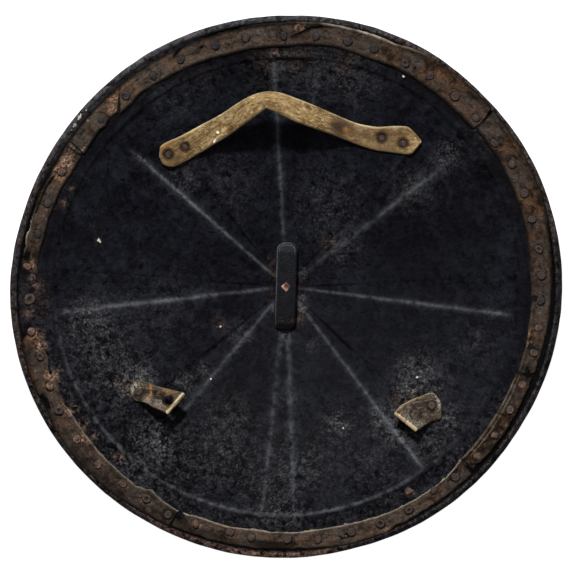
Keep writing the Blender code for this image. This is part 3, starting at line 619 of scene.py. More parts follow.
# Clockwise direction and radius in mm of the 52 rivets, with the look of each head:
# 0 domed, 1 flat with a ring, 2 hollow ring, 3 raised and rusty
RIM_RIVETS = (
    (-40.0, 263.1, 1), (-32.2, 263.1, 0), (-24.9, 264.1, 1), (-16.4, 265.2, 1),
    (-9.3, 265.7, 0), (-0.6, 264.7, 1), (6.8, 265.7, 0), (14.1, 266.8, 1),
    (20.3, 267.3, 1), (28.0, 267.3, 2), (34.3, 269.4, 1), (41.6, 268.3, 1),
    (48.3, 267.8, 0), (55.4, 266.8, 1), (61.5, 271.0, 0), (68.6, 269.9, 1),
    (74.7, 268.9, 1), (81.6, 269.4, 2), (87.5, 269.4, 1), (93.1, 268.9, 1),
    (99.3, 269.9, 0), (105.0, 270.5, 1), (112.6, 269.9, 0), (118.8, 269.9, 1),
    (125.5, 269.9, 0), (131.6, 269.9, 0), (138.4, 268.9, 1), (144.0, 265.2, 0),
    (151.2, 268.9, 2), (158.3, 268.9, 2), (165.1, 267.8, 1), (172.8, 268.9, 1),
    (179.6, 266.8, 1), (187.9, 266.8, 0), (192.9, 265.7, 1), (200.8, 267.8, 3),
    (207.4, 271.0, 1), (213.4, 267.8, 2), (219.7, 269.9, 1), (226.6, 273.1, 1),
    (233.9, 273.1, 1), (241.4, 273.1, 2), (247.1, 271.0, 3), (254.2, 269.9, 2),
    (260.0, 273.1, 3), (267.2, 271.0, 2), (274.5, 274.1, 1), (282.0, 267.8, 0),
    (289.3, 266.2, 0), (297.0, 265.9, 1), (304.9, 264.7, 1), (312.2, 263.1, 0),
)


def lining_point(clock, radius):
    """Plan of a place on the border, from its clockwise direction and its radius in mm."""
    angle = np.radians(90 - clock)
    return MM * radius * np.cos(angle), MM * radius * np.sin(angle)


def ring_at(x, y):
    """Ring of the plate on which a point of the plan lies."""
    angle = np.arctan2(y, x)
    radius = np.hypot(x, y)
    return (radius - drift(radius, angle)) / oval(angle)


def inside_height(x, y):
    """Height of the plate's inner face over a point of the plan, without the rays."""
    return outer_height(ring_at(x, y)) + SHEET


def lining_seat(x, y):
    """Height of what the lining lies on: the border, and the roll where it climbs it."""
    climbed = smoothstep((ring_at(x, y) - CLIMB_START) / CLIMB_LENGTH)
    return inside_height(x, y) + CLIMB_HEIGHT * climbed


def unrolled(clock, radius=0):
    """Places on the lining as they are with the border laid out straight."""
    return np.stack([clock * LINING_DEGREE, radius + 0 * clock, 0 * clock], axis=-1)


def near_line(clock, radius, start, end):
    """Distance in mm from points of the border to a line between two of its places."""
    x, y = radius * np.radians(clock), radius
    ends = [(at[1] * math.radians(at[0]), at[1]) for at in (start, end)]
    run = (ends[1][0] - ends[0][0], ends[1][1] - ends[0][1])
    length = max(run[0] ** 2 + run[1] ** 2, 0.01)
    share = ((x - ends[0][0]) * run[0] + (y - ends[0][1]) * run[1]) / length
    share = np.clip(share, 0, 1)
    return np.hypot(x - ends[0][0] - run[0] * share, y - ends[0][1] - run[1] * share)


def leather_layer(first, last, start_height, ragged, lean, rounded, inner):
    """Points of a strip's lower face, with their direction and radius."""
    rows = int((last - first) / LINING_STEP_DEG) + 2
    along = np.linspace(0, 1, rows)[:, None] * np.ones((1, LINING_COLUMNS))
    share = np.linspace(0, 1, LINING_COLUMNS)[None, :] * np.ones((rows, 1))
    clock = first + (last - first) * along
    near_start = np.clip(1 - (clock - first) / (3 + 2 * abs(lean[0])), 0, 1)
    near_end = np.clip(1 - (last - clock) / (3 + 2 * abs(lean[1])), 0, 1)
    clock = clock + near_start * lean[0] * share + near_end * lean[1] * share
    clock = clock - near_end * rounded * (2 * share - 1) ** 2
    low = np.interp(clock, *zip(*inner))
    high = np.interp(clock, *zip(*OUTER_EDGE))
    edge = unrolled(clock)
    coarse = rough(edge, 0.007, start_height)
    frayed = rough(edge, 0.0022, 5)
    rags = np.interp(clock, *zip(*OUTER_RAGS))
    outer_fray = rough(edge, 0.009, 15) + 0.5 * frayed[::-1]
    radius = low + (high - low) * share
    radius += ragged * (coarse + 0.6 * frayed) * (1 - share)
    radius += rags * (outer_fray - 0.2) * share ** 2
    x, y = lining_point(clock, radius)
    seat = lining_seat(x, y)
    height = seat + MM * start_height
    flat = np.stack([x, y, 0 * x], axis=-1)
    lengthwise = unrolled(clock / 0.024, radius / 5.5)
    folds = rough(lengthwise, 1.0, 23)
    creased = 0.05 + np.abs(rough(lengthwise, 0.8, 31))
    height += 0.0005 * (rough(flat, 0.012, 2) + 0.6)
    height += 0.0010 * (folds + 0.3) - 0.0010 * np.clip(0.18 - creased, 0, 1) / 0.18
    curl = np.interp(clock, *zip(*CURLED_EDGE)) * MM
    curl_share = hump(share * LINING_WIDTH, 4.5)
    height += curl * curl_share * np.clip(rough(edge, 0.02, 9) * 1.5 + 0.6, 0, 1)
    outer_curl = hump((1 - share) * LINING_WIDTH, 3.5)
    height += 0.0009 * outer_curl * np.clip(rough(edge, 0.012, 19) * 1.6, -0.2, 1)
    for place, at, _ in RIM_RIVETS:
        off = turn_from(place, clock)
        if np.abs(off).min() < 3:
            far = np.hypot(np.radians(off) * radius, radius - at)
            height -= 0.0006 * hump(far, 5.5)
    height = np.maximum(height, seat + 0.00012)
    # Where folds and creases sink, for painted shade
    crevice_shade = 0.8 * np.clip(0.13 - creased, 0, 1) / 0.08 + np.clip(-folds - 0.2, 0, 1)
    return np.stack([x, y, height], axis=-1), clock, radius, share, crevice_shade


# Crusts of pink and cream rust: direction, radius, reach and strength
CRUSTS = (
    (247.2, 272.0, 6, 0.5), (249.5, 265.0, 7, 1.0), (256.5, 268.0, 6, 1.0), (259.6, 270.0, 7, 1.0),
    (233.8, 271.5, 6, 0.9), (226.5, 272.0, 5, 0.8), (219.6, 270.5, 5, 0.6), (213.5, 270.0, 6, 0.5),
    (240.0, 264.0, 5, 0.6), (232.0, 264.0, 4, 0.4), (274.3, 272.5, 7, 0.9), (296.6, 268.0, 8, 0.9),
    (299.5, 266.0, 8, 0.9), (302.0, 270.0, 6, 0.6), (200.6, 268.0, 5, 0.8), (157.6, 279.0, 4, 0.8),
    (192.9, 266.0, 5, 0.5), (187.6, 266.0, 5, 0.4), (315.5, 262.0, 5, 0.8), (317.5, 270.0, 6, 0.7),
    (322.0, 271.0, 5, 0.5), (327.0, 268.0, 5, 0.4),
    (304.0, 257.0, 4, 0.6), (310.0, 273.5, 3, 0.5), (294.0, 274.0, 4, 0.5), (3.0, 274.0, 6, 0.7),
    (241.9, 272.0, 6, 0.4), (103.2, 265.0, 4, 0.8), (100.5, 263.0, 5, 0.5), (337.5, 274.0, 5, 0.6),
)
# How pale and how orange the leather is, by the clockwise direction
LEATHER_TONES = (
    (-50, 0.58), (-38, 0.66), (-20, 0.5), (0, 0.38), (10, 0.36), (20, 0.28), (40, 0.26),
    (48, 0.36), (54, 0.2), (75, 0.2), (90, 0.24), (98, 0.36), (106, 0.3), (112, 0.04),
    (130, 0.06), (138, 0.32), (150, 0.52), (175, 0.68), (200, 0.46), (210, 0.26), (225, 0.28),
    (240, 0.36), (254, 0.2), (262, 0.1), (273, 0.14), (285, 0.3), (300, 0.45), (305, 0.4),
    (316, 0.55),
)
ORANGE_TONES = (
    (-50, 0.5), (-38, 0.6), (-28, 0.65), (-18, 0.3), (0, 0.15), (20, 0.35), (38, 0.75),
    (50, 0.4), (60, 0.7), (78, 0.45), (90, 0.3), (104, 0.45), (114, 0.5), (132, 0.4), (138, 0.35),
    (155, 0.4), (190, 0.45), (205, 0.15), (225, 0.1), (240, 0.4), (250, 0.75), (262, 0.6),
    (274, 0.3), (290, 0.25), (298, 0.95), (302, 0.4), (306, 0.1), (316, 0.6),
)


def paint_lining(mesh, clock, radius, share, crevice_shade):
    """Paints the tone, the rust, the pale cut edges with painted highlight, and the dark seams and
    painted shade of a strip.
    """
    paint(mesh, "pale", np.interp(clock, *zip(*LEATHER_TONES)).ravel())
    paint(mesh, "orange", np.interp(clock, *zip(*ORANGE_TONES)).ravel())
    crust = np.zeros(clock.shape)
    for at_clock, at_radius, reach, strength in CRUSTS:
        far = np.hypot(np.radians(clock - at_clock) * radius, radius - at_radius)
        crust = np.maximum(crust, strength * hump(far, reach, 4))
    paint(mesh, "crust", crust.ravel())
    # Painted highlight: the inner cut edge of the lower half, which faces the light, and the outer edge
    # in two places
    lower = smoothstep((clock - 131) / 6) * smoothstep((246 - clock) / 10)
    lower = lower * (1 - 0.45 * smoothstep((clock - 203) / 8))
    edge = hump(share * LINING_WIDTH, 1.2) * 0.8 * lower
    outer_light = hump(clock - 18, 9) + hump(clock - 282, 3)
    broken = np.clip(0.75 + rough(unrolled(clock), 0.012, 41) * 1.4, 0, 1)
    edge += hump((1 - share) * LINING_WIDTH, 0.8) * outer_light * broken
    # Painted shade in the folds and creases of the leather
    shade_and_dark = (0.7 - 0.3 * hump(clock - 45, 30)) * crevice_shade
    to_end = np.minimum(clock - clock[:1], clock[-1:] - clock) * np.radians(radius)
    seam_width = 1.5 - 0.8 * hump(clock - 50, 6)
    seam_width -= 0.8 * hump(clock - 205.4, 6)
    seam = 0.9 * hump(to_end, seam_width)
    seam *= 1 - 0.4 * hump(clock - 205.4, 6)
    covered = hump(clock + 41, 4, 4) + hump(clock - 319, 4, 4)
    shade_and_dark = np.maximum(shade_and_dark, seam * (1 - 0.8 * covered * smoothstep((share - 0.3) / 0.3)))
    # The curled lip on the right: painted highlight on its crest and a line of painted shade below it
    lip = hump(clock - 122.5, 12, 8)
    edge = np.maximum(edge, 0.22 * lip * hump(share * LINING_WIDTH - 1.2, 1.2))
    shade_and_dark = np.maximum(shade_and_dark, 0.65 * lip * hump(share * LINING_WIDTH - 4.4, 1.2))
    paint(mesh, "pale_edge_and_highlight", edge.ravel())
    # Painted shadow along the inner edge of the upper half and of the left, which faces away from the
    # light
    upper = smoothstep((np.cos(np.radians(clock)) + 0.2) / 0.5)
    upper = np.maximum(upper, hump(clock - 283, 11, 4))
    shade_and_dark = np.maximum(shade_and_dark, upper * 0.97 * hump(share * LINING_WIDTH, 2.5, 4))
    lumps = rough(unrolled(clock, MM * radius), 0.009, 23)
    blackened = hump(clock - 222, 19, 6) + 0.8 * hump(clock - 183, 7, 4)
    blackened *= smoothstep((share - 0.4) / 0.3) * smoothstep(lumps * 2.4 + 0.6)
    shade_and_dark = np.maximum(shade_and_dark, 0.7 * blackened)
    # Painted shade along the outer edge, except where it is lit
    outer_line = hump((1 - share) * LINING_WIDTH, 1.8) * (1 - np.clip(outer_light, 0, 1))
    shade_and_dark = np.maximum(shade_and_dark, 0.85 * outer_line)
    for start, end, half_width in TEARS:
        for turn in (0, 360, -360):
            near = near_line(clock + turn, radius, start, end)
            shade_and_dark = np.maximum(shade_and_dark, hump(near, half_width + 1.3))
    # Painted shade in a ring round each rivet head
    for place, at, look in RIM_RIVETS:
        off = turn_from(place, clock)
        far = np.hypot(np.radians(off) * radius, radius - at)
        ring_dark = 0.25 if place < 130 and look < 2 else 0.6
        ring_dark = ring_dark * (0.6 + 0.4 * np.sin(np.arctan2(off, radius - at) + place))
        shade_and_dark = np.maximum(shade_and_dark, ring_dark * hump(far - 5.0, 1.1))
    outer_black = hump(clock - 183, 6, 4) * smoothstep((radius - 268) / 2)
    outer_black += 0.7 * hump(clock - 199, 9, 4) * smoothstep((radius - 269) / 3)
    outer_black += 0.5 * hump(clock - 225, 15, 4) * smoothstep((radius - 274) / 5)
    lower_line = hump(clock - 103, 7) * hump(radius - 263.6, 1.2)
    paint(mesh, "shade_and_dark", np.maximum(np.maximum(shade_and_dark, outer_black * 0.9), lower_line * 0.8).ravel())


leather = Finish("lining_leather", 0.8, 0.06)
soft = leather.grain(0.032, 5, 0.55, twist=0.5)
mottle = leather.grain(0.010, 5, 0.6, twist=0.8)
scuffs = leather.grain(0.0045, 4, 0.65, twist=0.8)
fine = leather.grain(0.0022, 4, 0.7)
pale = soft.ramp(0.34, 0.66) * 0.5 + mottle.ramp(0.34, 0.66) * 0.25 + leather.painted("pale")
leather.colour = leather.mix(pale * 0.9 - 0.18, (15, 10, 8), (82, 71, 62))
leather.coat(mottle.ramp(0.5, 0.64) * 0.5, (47, 45, 48))
leather.coat(mottle.ramp(0.47, 0.36) * 0.55, (22, 16, 12))
orange = leather.painted("orange") * soft.ramp(0.56, 0.42) * mottle.ramp(0.36, 0.6)
leather.coat(orange * 0.75, (100, 67, 40))
leather.coat(scuffs.ramp(0.46, 0.36) * 0.5, (14, 9, 6))
leather.coat(fine.ramp(0.54, 0.7) * 0.6 * mottle.ramp(0.45, 0.6), (126, 112, 98))
crust_tone = leather.mix(fine.ramp(0.42, 0.58), (96, 62, 46), (168, 136, 112))
leather.coat(leather.painted("crust") * scuffs.ramp(0.44, 0.54), crust_tone)
# Dark seams, tears and blackened leather, with painted shade in folds, along edges and round rivets
leather.coat(leather.painted("shade_and_dark"), (7, 4, 2))
# Pale cut edges with painted highlight where they face the light
leather.coat(leather.painted("pale_edge_and_highlight") * mottle.ramp(0.25, 0.55), (160, 148, 130))
leather.surface((mottle, 0.0030), (scuffs, 0.0016), (fine, 0.0004))


def cut_away(mesh, is_cut):
    """Takes away the faces of a mesh whose middle meets a test."""
    edited = bmesh.new()
    edited.from_mesh(mesh)
    cut = [face for face in edited.faces if is_cut(face.calc_center_median())]
    bmesh.ops.delete(edited, geom=cut, context="FACES")
    edited.to_mesh(mesh)
    edited.free()


def torn(middle, first):
    """Whether a place on a strip, which starts in this direction, lies in a tear."""
    clock = (90 - math.degrees(math.atan2(middle.y, middle.x)) - first + 5) % 360 + (first - 5)
    radius = math.hypot(middle.x, middle.y) * 1000
    return any(near_line(clock, radius, start, end) < half_width for start, end, half_width in TEARS)


for name, first, last, thickness, start_height, ragged, lean, rounded in LINING_STRIPS:
    layers = [(first, last, start_height, ragged, lean, rounded, INNER_EDGE, thickness)]
    if name == "lining_patch_right":
        under = ((100, 258.9), (140, 258.9))
        layers.append((first, last + 0.6, 0.2, 0.4, (0, 0), 0, under, 1.1))
    if name == "lining_patch_left":
        under = ((300, 256.4), (310, 257.5), (318, 255.0))
        layers.append((302.6, 315.9, 0.2, 0.9, (0, 4.5), 0.0, under, 1.4))
    strip_mesh = bpy.data.meshes.new(name)
    joined = bmesh.new()
    for *shape, thick in layers:
        points, *values = leather_layer(*shape)
        if shape[-1] is not INNER_EDGE:
            # Painted shade on the under-layer along the inner edge of the strip above it
            groove = (262.6 if name == "lining_patch_right" else 250) - values[1]
            values[3] = np.maximum(values[3], 1.3 * hump(groove, 1.4))
        layer_mesh = grid_mesh(f"{name}_layer", points[:, ::-1])
        paint_lining(layer_mesh, *[value[:, ::-1] for value in values])
        cut_away(layer_mesh, lambda middle: torn(middle, first))
        made = bring_in(f"{name}_layer", layer_mesh)
        solid = made.modifiers.new("thickness", "SOLIDIFY")
        solid.thickness = MM * thick
        solid.offset = 1
        graph = bpy.context.evaluated_depsgraph_get()
        joined.from_mesh(bpy.data.meshes.new_from_object(made.evaluated_get(graph)))
        bpy.data.objects.remove(made)
    joined.to_mesh(strip_mesh)
    joined.free()
    strip_mesh.shade_smooth()
    strip = piece(name + "_leather", strip_mesh, leather)
    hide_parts(name)

# The 52 rivets of the lining: iron, driven from the front and peened on the inside, where
# their heads are uneven, some domed, some flat or hollow, and grey with rust and wax.

rim_iron = Finish("rim_rivet_iron", 0.62, 0.2)
mottle = rim_iron.grain(0.004, 4, 0.65)
fine = rim_iron.grain(0.0012, 4, 0.7)
which = Value(rim_iron.tree, rim_iron.tree.nodes.new("ShaderNodeObjectInfo").outputs["Random"])
rim_iron.colour = rim_iron.mix(which, (34, 31, 34), (54, 46, 44))
rim_iron.coat(mottle.ramp(0.46, 0.62), (26, 18, 16))
rim_iron.coat(fine.ramp(0.58, 0.74), (92, 85, 84))
crust_tone = rim_iron.mix(fine.ramp(0.42, 0.58), (80, 55, 44), (134, 106, 88))
rim_iron.coat(rim_iron.painted("rusty") * mottle.ramp(0.38, 0.56), crust_tone)
# Painted shade at the rim where the head meets the leather, and in its grooves and hollows
rim_iron.coat(rim_iron.painted("groove") * 0.8, (6, 4, 3))
rim_iron.surface((mottle, 0.0009), (fine, 0.0005))

# How rusty the heads are, by the clockwise direction
HEAD_RUST = (
    (-50, 0.0), (20, 0.0), (34, 0.25), (75, 0.25), (93, 0.1), (99, 0.6), (131, 0.6),
    (138, 0.2), (158, 0.2), (180, 0.3), (198, 0.4), (201, 0.8),
    (207, 0.1), (214, 0.3), (226, 0.7), (234, 0.9), (241, 0.3), (247, 1.0), (254, 0.3),
    (260, 0.9), (267, 0.4), (274, 0.8), (282, 0.0), (289, 0.0), (297, 0.6), (304, 0.1),
    (310, 0.0),
)
# Sections of the four looks, as radius, height over the leather, and groove, in mm; the groove is
# painted shade at the head's rim and in its hollows
HEAD_LOOKS = (
    ((0, 0.5, 0), (1.3, 0.45, 0), (2.4, 0.4, 0.1), (3.6, 0.1, 0.2), (4.5, -0.2, 0.5),
     (5.1, -0.6, 0.9), (4.7, -1.2, 1)),
    ((0, 0.3, 0.2), (1.0, 0.35, 0.1), (1.7, 0.0, 0.8), (2.2, 0.0, 0.6), (2.9, 0.3, 0),
     (3.9, 0.2, 0.2), (4.7, -0.1, 0.6), (5.2, -0.6, 0.9), (4.7, -1.2, 1)),
    ((0, -0.5, 1), (1.2, -0.4, 1), (2.0, 0.2, 0.8), (2.9, 0.8, 0), (3.8, 0.9, 0),
     (4.8, 0.35, 0.3), (5.4, -0.4, 1), (4.9, -1.2, 1)),
    ((0, 1.5, 0), (1.4, 1.5, 0), (3.0, 1.3, 0), (4.2, 0.8, 0.2), (5.0, 0.0, 0.9),
     (4.8, -1.2, 1)),
)
SHANK_RADIUS = 2.0
# The outer head on the front, as radius and height under the plate in mm
FRONT_DOME = ((5.0, 0.1), (4.7, -0.9), (3.6, -1.9), (2.0, -2.6), (0.0, -2.9))


def level_ring(turns, reach, height):
    """A level ring of points in these directions."""
    return np.stack([reach * np.cos(turns), reach * np.sin(turns), 0 * turns + height], axis=-1)


def turned_mesh(name, section, sides, seed, uneven=0.00018):
    """A turned solid from radii and heights in mm, a little uneven, with its groove painted as shade.
    """
    turns = np.linspace(0, math.tau, sides, endpoint=False)
    rows = []
    grooves = []
    for radius, height, groove in section:
        rows.append(level_ring(turns, max(radius, 0.01) * MM, MM * height))
        grooves += [groove] * sides
    points = np.array(rows)
    swell = 1 + 0.16 * rough(points * [1, 1, 0], 0.0045, seed)
    points[..., :2] *= swell[..., None]
    points[..., 2] += uneven * rough(points, 0.0025, seed)
    mesh = grid_mesh(name, points[::-1], False, True)
    paint(mesh, "groove", np.array(grooves).reshape(len(section), sides)[::-1])
    return mesh


def rivet_section(look, height, neck, depth):
    """Section of a rivet in mm: its head at this height, its shank and its outer head."""
    head = [(radius, up + height, groove) for radius, up, groove in look]
    shank = [(SHANK_RADIUS, height - neck, 1), (SHANK_RADIUS, -depth, 1)]
    return head + shank + [(radius, up - depth, 0) for radius, up in FRONT_DOME]


def inside_normal(x, y):
    """Direction in which the inner face looks here."""
    reach = 0.002
    slope_x = inside_height(x + reach, y) - inside_height(x - reach, y)
    slope_y = inside_height(x, y + reach) - inside_height(x, y - reach)
    return Vector((-slope_x / (2 * reach), -slope_y / (2 * reach), 1)).normalized()


def seated(x, y, height):
    """Matrix that stands a fixing on the plate so that it shows here at this height."""
    normal = inside_normal(x, y)
    x -= normal.x * height
    y -= normal.y * height
    foot = Vector((x, y, float(inside_height(x, y))))
    return Matrix.Translation(foot) @ Vector((0, 0, 1)).rotation_difference(normal).to_matrix().to_4x4()


HEAD_SIDES = 18
# The heads sit on their leather: lower where it is thin, high on the patch, low on bare iron
for number, (clock, radius, look) in enumerate(RIM_RIVETS, 1):
    over_leather = 2.6
    if 96 < clock < 110:
        over_leather = 2.1
    if 111 < clock < 134:
        over_leather = 2.8
    if 263 < clock < 271:
        over_leather = 1.4
    section = rivet_section(HEAD_LOOKS[look], over_leather, 1.3, 1.9)
    x, y = lining_point(clock, radius)
    head = turned_mesh(f"rim_rivet_{number:02d}", section, HEAD_SIDES, number)
    turn = Matrix.Rotation(2.4 * number, 4, "Z")
    wide = 1.25 if look == 2 and over_leather < 2 else 0.93
    narrow = Matrix.Diagonal((wide, wide * (0.88 + 0.12 * math.sin(number * 1.7)), 1.0, 1.0))
    tilt = Matrix.Rotation(0.07 * math.sin(number * 3.1), 4, "X")
    paint(head, "rusty", np.interp(clock, *zip(*HEAD_RUST)) + np.zeros(len(head.vertices)))
    head.transform(seated(float(x), float(y), MM * over_leather) @ turn @ tilt @ narrow)
    rivet = piece(f"rim_rivet_{number:02d}", head, rim_iron)
    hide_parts("shield_plate")

# The rosette and the stud on the front: an iron washer and a low forged stud with a flat
# end, whose square tang runs through plate and bar and is peened into a rusty diamond.

peened = Finish("peened_iron", 0.6, 0.2)
mottle = peened.grain(0.003, 4, 0.65)
fine = peened.grain(0.001, 4, 0.7)
peened.colour = peened.mix(mottle.ramp(0.35, 0.65), (34, 24, 22), (78, 55, 47))
peened.coat(fine.ramp(0.58, 0.72), (140, 118, 108))
peened.coat(peened.painted("pale") * 0.85, (170, 142, 126))
# Painted shade at the rim of the peened tang, and the darker tone of the stud
peened.coat(peened.painted("groove"), (22, 16, 15))
peened.coat(peened.painted("red"), (96, 46, 32))
peened.surface((mottle, 0.0005), (fine, 0.00025))

BAR_TOP = float(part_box("backing_bar")[1][2])
# Radius and height of the stud in mm, from its shoulder to its flat end
FRONT_STUD = (
    (15.0, 9.0), (15.1, 8.2), (15.0, 7.0), (14.3, 5.0), (13.2, 3.2), (12.6, 1.4),
    (12.0, 0.5), (11.2, 0.05), (11.0, 0.0), (6.0, 0.0), (0.0, 0.0),
)
stud_rows = []
STUD_SIDES = 48
stud_turns = np.linspace(0, math.tau, STUD_SIDES, endpoint=False)
round_to_square = 1 / np.maximum(np.abs(np.cos(stud_turns)) + np.abs(np.sin(stud_turns)), 1e-6)
tang_top = BAR_TOP * 1000
# Half the diagonal of the square tang, height and groove, painted shade at its rim, from the peened end
# to the stud
TANG_SECTION = (
    (0.02, tang_top + 0.35, 1), (1.0, tang_top + 0.5, 0.9), (1.7, tang_top + 1.2, 0.15),
    (3.0, tang_top + 1.35, 0), (4.6, tang_top + 1.1, 0), (5.5, tang_top + 0.6, 0.2),
    (5.7, tang_top + 0.3, 1), (4.6, tang_top + 0.3, 1), (4.6, 9.0, 1),
)
groove_values = []
stud_section = TANG_SECTION + tuple((max(radius, 0.01), height, 0.85) for radius, height in FRONT_STUD)
for number, (radius, height, groove) in enumerate(stud_section):
    square = number < len(TANG_SECTION) and radius > 1.5
    reach = MM * radius * (round_to_square if square else 1)
    stud_rows.append(level_ring(stud_turns, reach, MM * height))
    groove_values += [groove] * STUD_SIDES
stud_mesh = grid_mesh("stud_and_tang", np.array(stud_rows)[::-1], False, True)
paint(stud_mesh, "groove", np.array(groove_values).reshape(-1, STUD_SIDES)[::-1])
tang_places = np.array(stud_rows)[::-1].reshape(-1, 3) * 1000
off_middle = np.abs(tang_places[:, 0]) + np.abs(tang_places[:, 1])
toward = -(tang_places[:, 0] + tang_places[:, 1]) / np.maximum(off_middle, 0.1)
on_top = tang_places[:, 2] > tang_top + 0.2
paint(stud_mesh, "pale", on_top * smoothstep((off_middle - 2.2) / 1.5) * smoothstep(toward + 0.4))
paint(stud_mesh, "red", on_top * smoothstep((2.4 - off_middle) / 1.2))
stud = piece("stud_and_tang", stud_mesh, peened)
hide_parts("front_stud")

rosette_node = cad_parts["front_rosette"]
rosette_node.data.materials.clear()
rosette_node.data.materials.append(iron.material)

# The backing bar: a flat iron bar, its ends bent down to the plate as feet and its upper
# edges filed off, blackened and pitted, with the peened tang in its middle.

BAR_LENGTH = 0.0940
BAR_WIDTH = 0.0222
BAR_THICKNESS = 0.0042
BAR_TURN_DEG = -1.6
bar_iron = Finish("bar_iron", 0.5, 0.08)
mottle = bar_iron.grain(0.006, 5, 0.65)
fine = bar_iron.grain(0.0013, 4, 0.7)
bar_iron.colour = bar_iron.mix(mottle.ramp(0.35, 0.7), (5, 6, 9), (18, 19, 24))
bar_iron.coat(fine.ramp(0.58, 0.74), (60, 62, 68))
# Painted shade towards the lower end
bar_iron.coat(bar_iron.painted("dim"), (3, 3, 4))
# Wear with painted highlight on the lit edges
bar_iron.coat(bar_iron.painted("worn") * fine.ramp(0.36, 0.62), (116, 120, 124))
bar_iron.coat(bar_iron.painted("scratched") * fine.ramp(0.54, 0.6), (84, 74, 66))
bar_iron.surface((mottle, 0.0006), (fine, 0.0003))

bar_rows = []
bar_wear_and_highlight = []
# Inset from the outline and height in the bar, in mm, from the top's middle to the bottom's, and how
# much wear and painted highlight a ring gets
BAR_SECTION = (
    (11.1, 4.2, 0), (8.0, 4.2, 0), (5.0, 4.2, 0), (3.6, 4.2, 0.0), (2.9, 4.17, 0.5),
    (2.2, 4.15, 0.0), (1.2, 4.05, 0.1), (0.6, 3.6, 1.0), (0.0, 2.6, 0.1), (0.0, 1.0, 0),
    (0.6, 0.1, 0), (3.0, 0.0, 0), (11.1, 0.0, 0),
)
bar_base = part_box("backing_bar")[1][2] - BAR_THICKNESS
for inset, height, edge_wear_and_highlight in BAR_SECTION:
    half_width = BAR_WIDTH * 500 - inset
    half_length = BAR_LENGTH * 500 - inset
    ring = []
    for side, end, first_deg in ((1, 1, 0), (-1, 1, 90), (-1, -1, 180), (1, -1, 270)):
        corner = 8.5 if end == 1 else 9.8
        radius = max(corner - inset, min(0.6, half_width))
        turns = np.radians(first_deg + np.linspace(0, 90, 12))
        ring.append(np.stack([side * (half_width - radius) + radius * np.cos(turns),
                              end * (half_length - radius) + radius * np.sin(turns)], axis=-1))
        if end == side:
            across = np.linspace(half_width - radius, radius - half_width, 6)[1:-1] * side
            ring.append(np.stack([across, 0 * across + end * half_length], axis=-1))
        else:
            along = np.linspace(half_length - radius, radius - half_length, 30)[1:-1] * end
            ring.append(np.stack([0 * along + side * half_width, along], axis=-1))
    plan = np.concatenate(ring)
    past = np.maximum(0, np.abs(plan[:, 1]) - 36.0) / 11.0
    drop = 3.0 * smoothstep(past * 0.9)
    points = np.column_stack([plan, height - drop]) * MM
    points[:, 2] += 0.00012 * rough(points, 0.006, 8) * (1 if height > 0.5 and inset < 10 else 0)
    bar_rows.append(points)
    # Painted highlight: the wear is brighter towards the left and the top, where the light falls
    lit = np.clip(0.25 - plan[:, 0] / 14 + plan[:, 1] / 70, 0, 1)
    if inset == 2.9:
        lit = smoothstep((plan[:, 1] - 33) / 8)
    bar_wear_and_highlight += list(edge_wear_and_highlight * lit)
turn = math.radians(BAR_TURN_DEG)
bar_points = np.array(bar_rows)
spun = bar_points.copy()
spun[..., 0] = bar_points[..., 0] * math.cos(turn) - bar_points[..., 1] * math.sin(turn)
spun[..., 1] = bar_points[..., 0] * math.sin(turn) + bar_points[..., 1] * math.cos(turn)
spun[..., 2] += bar_base
bar_mesh = grid_mesh("backing_bar", spun[::-1], False, True)
paint(bar_mesh, "worn", np.array(bar_wear_and_highlight).reshape(bar_points.shape[:2])[::-1])
bar_along = bar_points[::-1, :, 1] * 1000
# Painted shade: the bar darker towards its lower end
paint(bar_mesh, "dim", 0.15 + 0.55 * smoothstep(-bar_along / 45))
paint(bar_mesh, "scratched", 0.5 * hump(bar_along + 37, 3.0))
bar = piece("backing_bar_forged", bar_mesh, bar_iron)
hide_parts("backing_bar")

# The arm strap: one strip of buff leather, cut to a point at the right, riveted down at
# both ends and bowed up over the arm, with a sharp fold where it was bent double.

# Stations across the strap in mm: its upper edge, its lower edge, and how far each of them
# stands off the plate
STRAP_STATIONS = (
    (-134.4, 141.5, -134.0, 136.6, 0, 0), (-133.0, 148.5, -130.6, 130.0, 0, 0),
    (-126.2, 153.2, -119.6, 127.4, 0, 0), (-112.2, 159.3, -103.0, 135.4, 0, 0),
    (-91.1, 170.4, -81.4, 147.9, 5, 6), (-67.9, 182.3, -57.4, 161.9, 16, 20),
    (-52.0, 192.3, -42.0, 172.9, 25, 32), (-38.5, 199.4, -29.8, 180.9, 30, 41),
    (-30.0, 202.6, -22.2, 186.2, 32, 43.5), (-21.5, 204.3, -21.0, 186.8, 33, 44),
    (-12.5, 204.2, -19.8, 186.5, 32.5, 43.5), (-2.5, 202.4, -12.5, 184.0, 31, 42),
    (10.0, 198.0, 2.0, 176.8, 27, 37), (24.9, 192.6, 17.5, 171.0, 22, 31),
    (52.3, 181.3, 46.0, 161.5, 11, 16), (74.6, 173.0, 68.9, 153.4, 2, 3),
    (96.0, 169.2, 92.0, 145.6, 0, 0), (114.2, 170.0, 111.0, 142.8, 0, 0),
    (129.0, 168.9, 131.0, 140.6, 0, 0), (137.4, 161.6, 137.8, 146.2, 0, 0),
    (142.6, 155.4, 142.6, 152.6, 0, 0),
)
# Name, place and size of the pit that each rivet draws in, in mm
STRAP_RIVETS = (
    ("strap_rivet_left_outer", -124.8, 139.9, 5.8),
    ("strap_rivet_left_inner", -107.0, 147.9, 5.4),
    ("strap_rivet_right_inner", 101.0, 157.1, 5.6),
    ("strap_rivet_right_outer", 123.7, 151.5, 5.9),
)
# The values that run along a band are painted as shares of this length in metres
LONGEST_BAND = 0.4
EDGE_ROUNDING = 0.0009


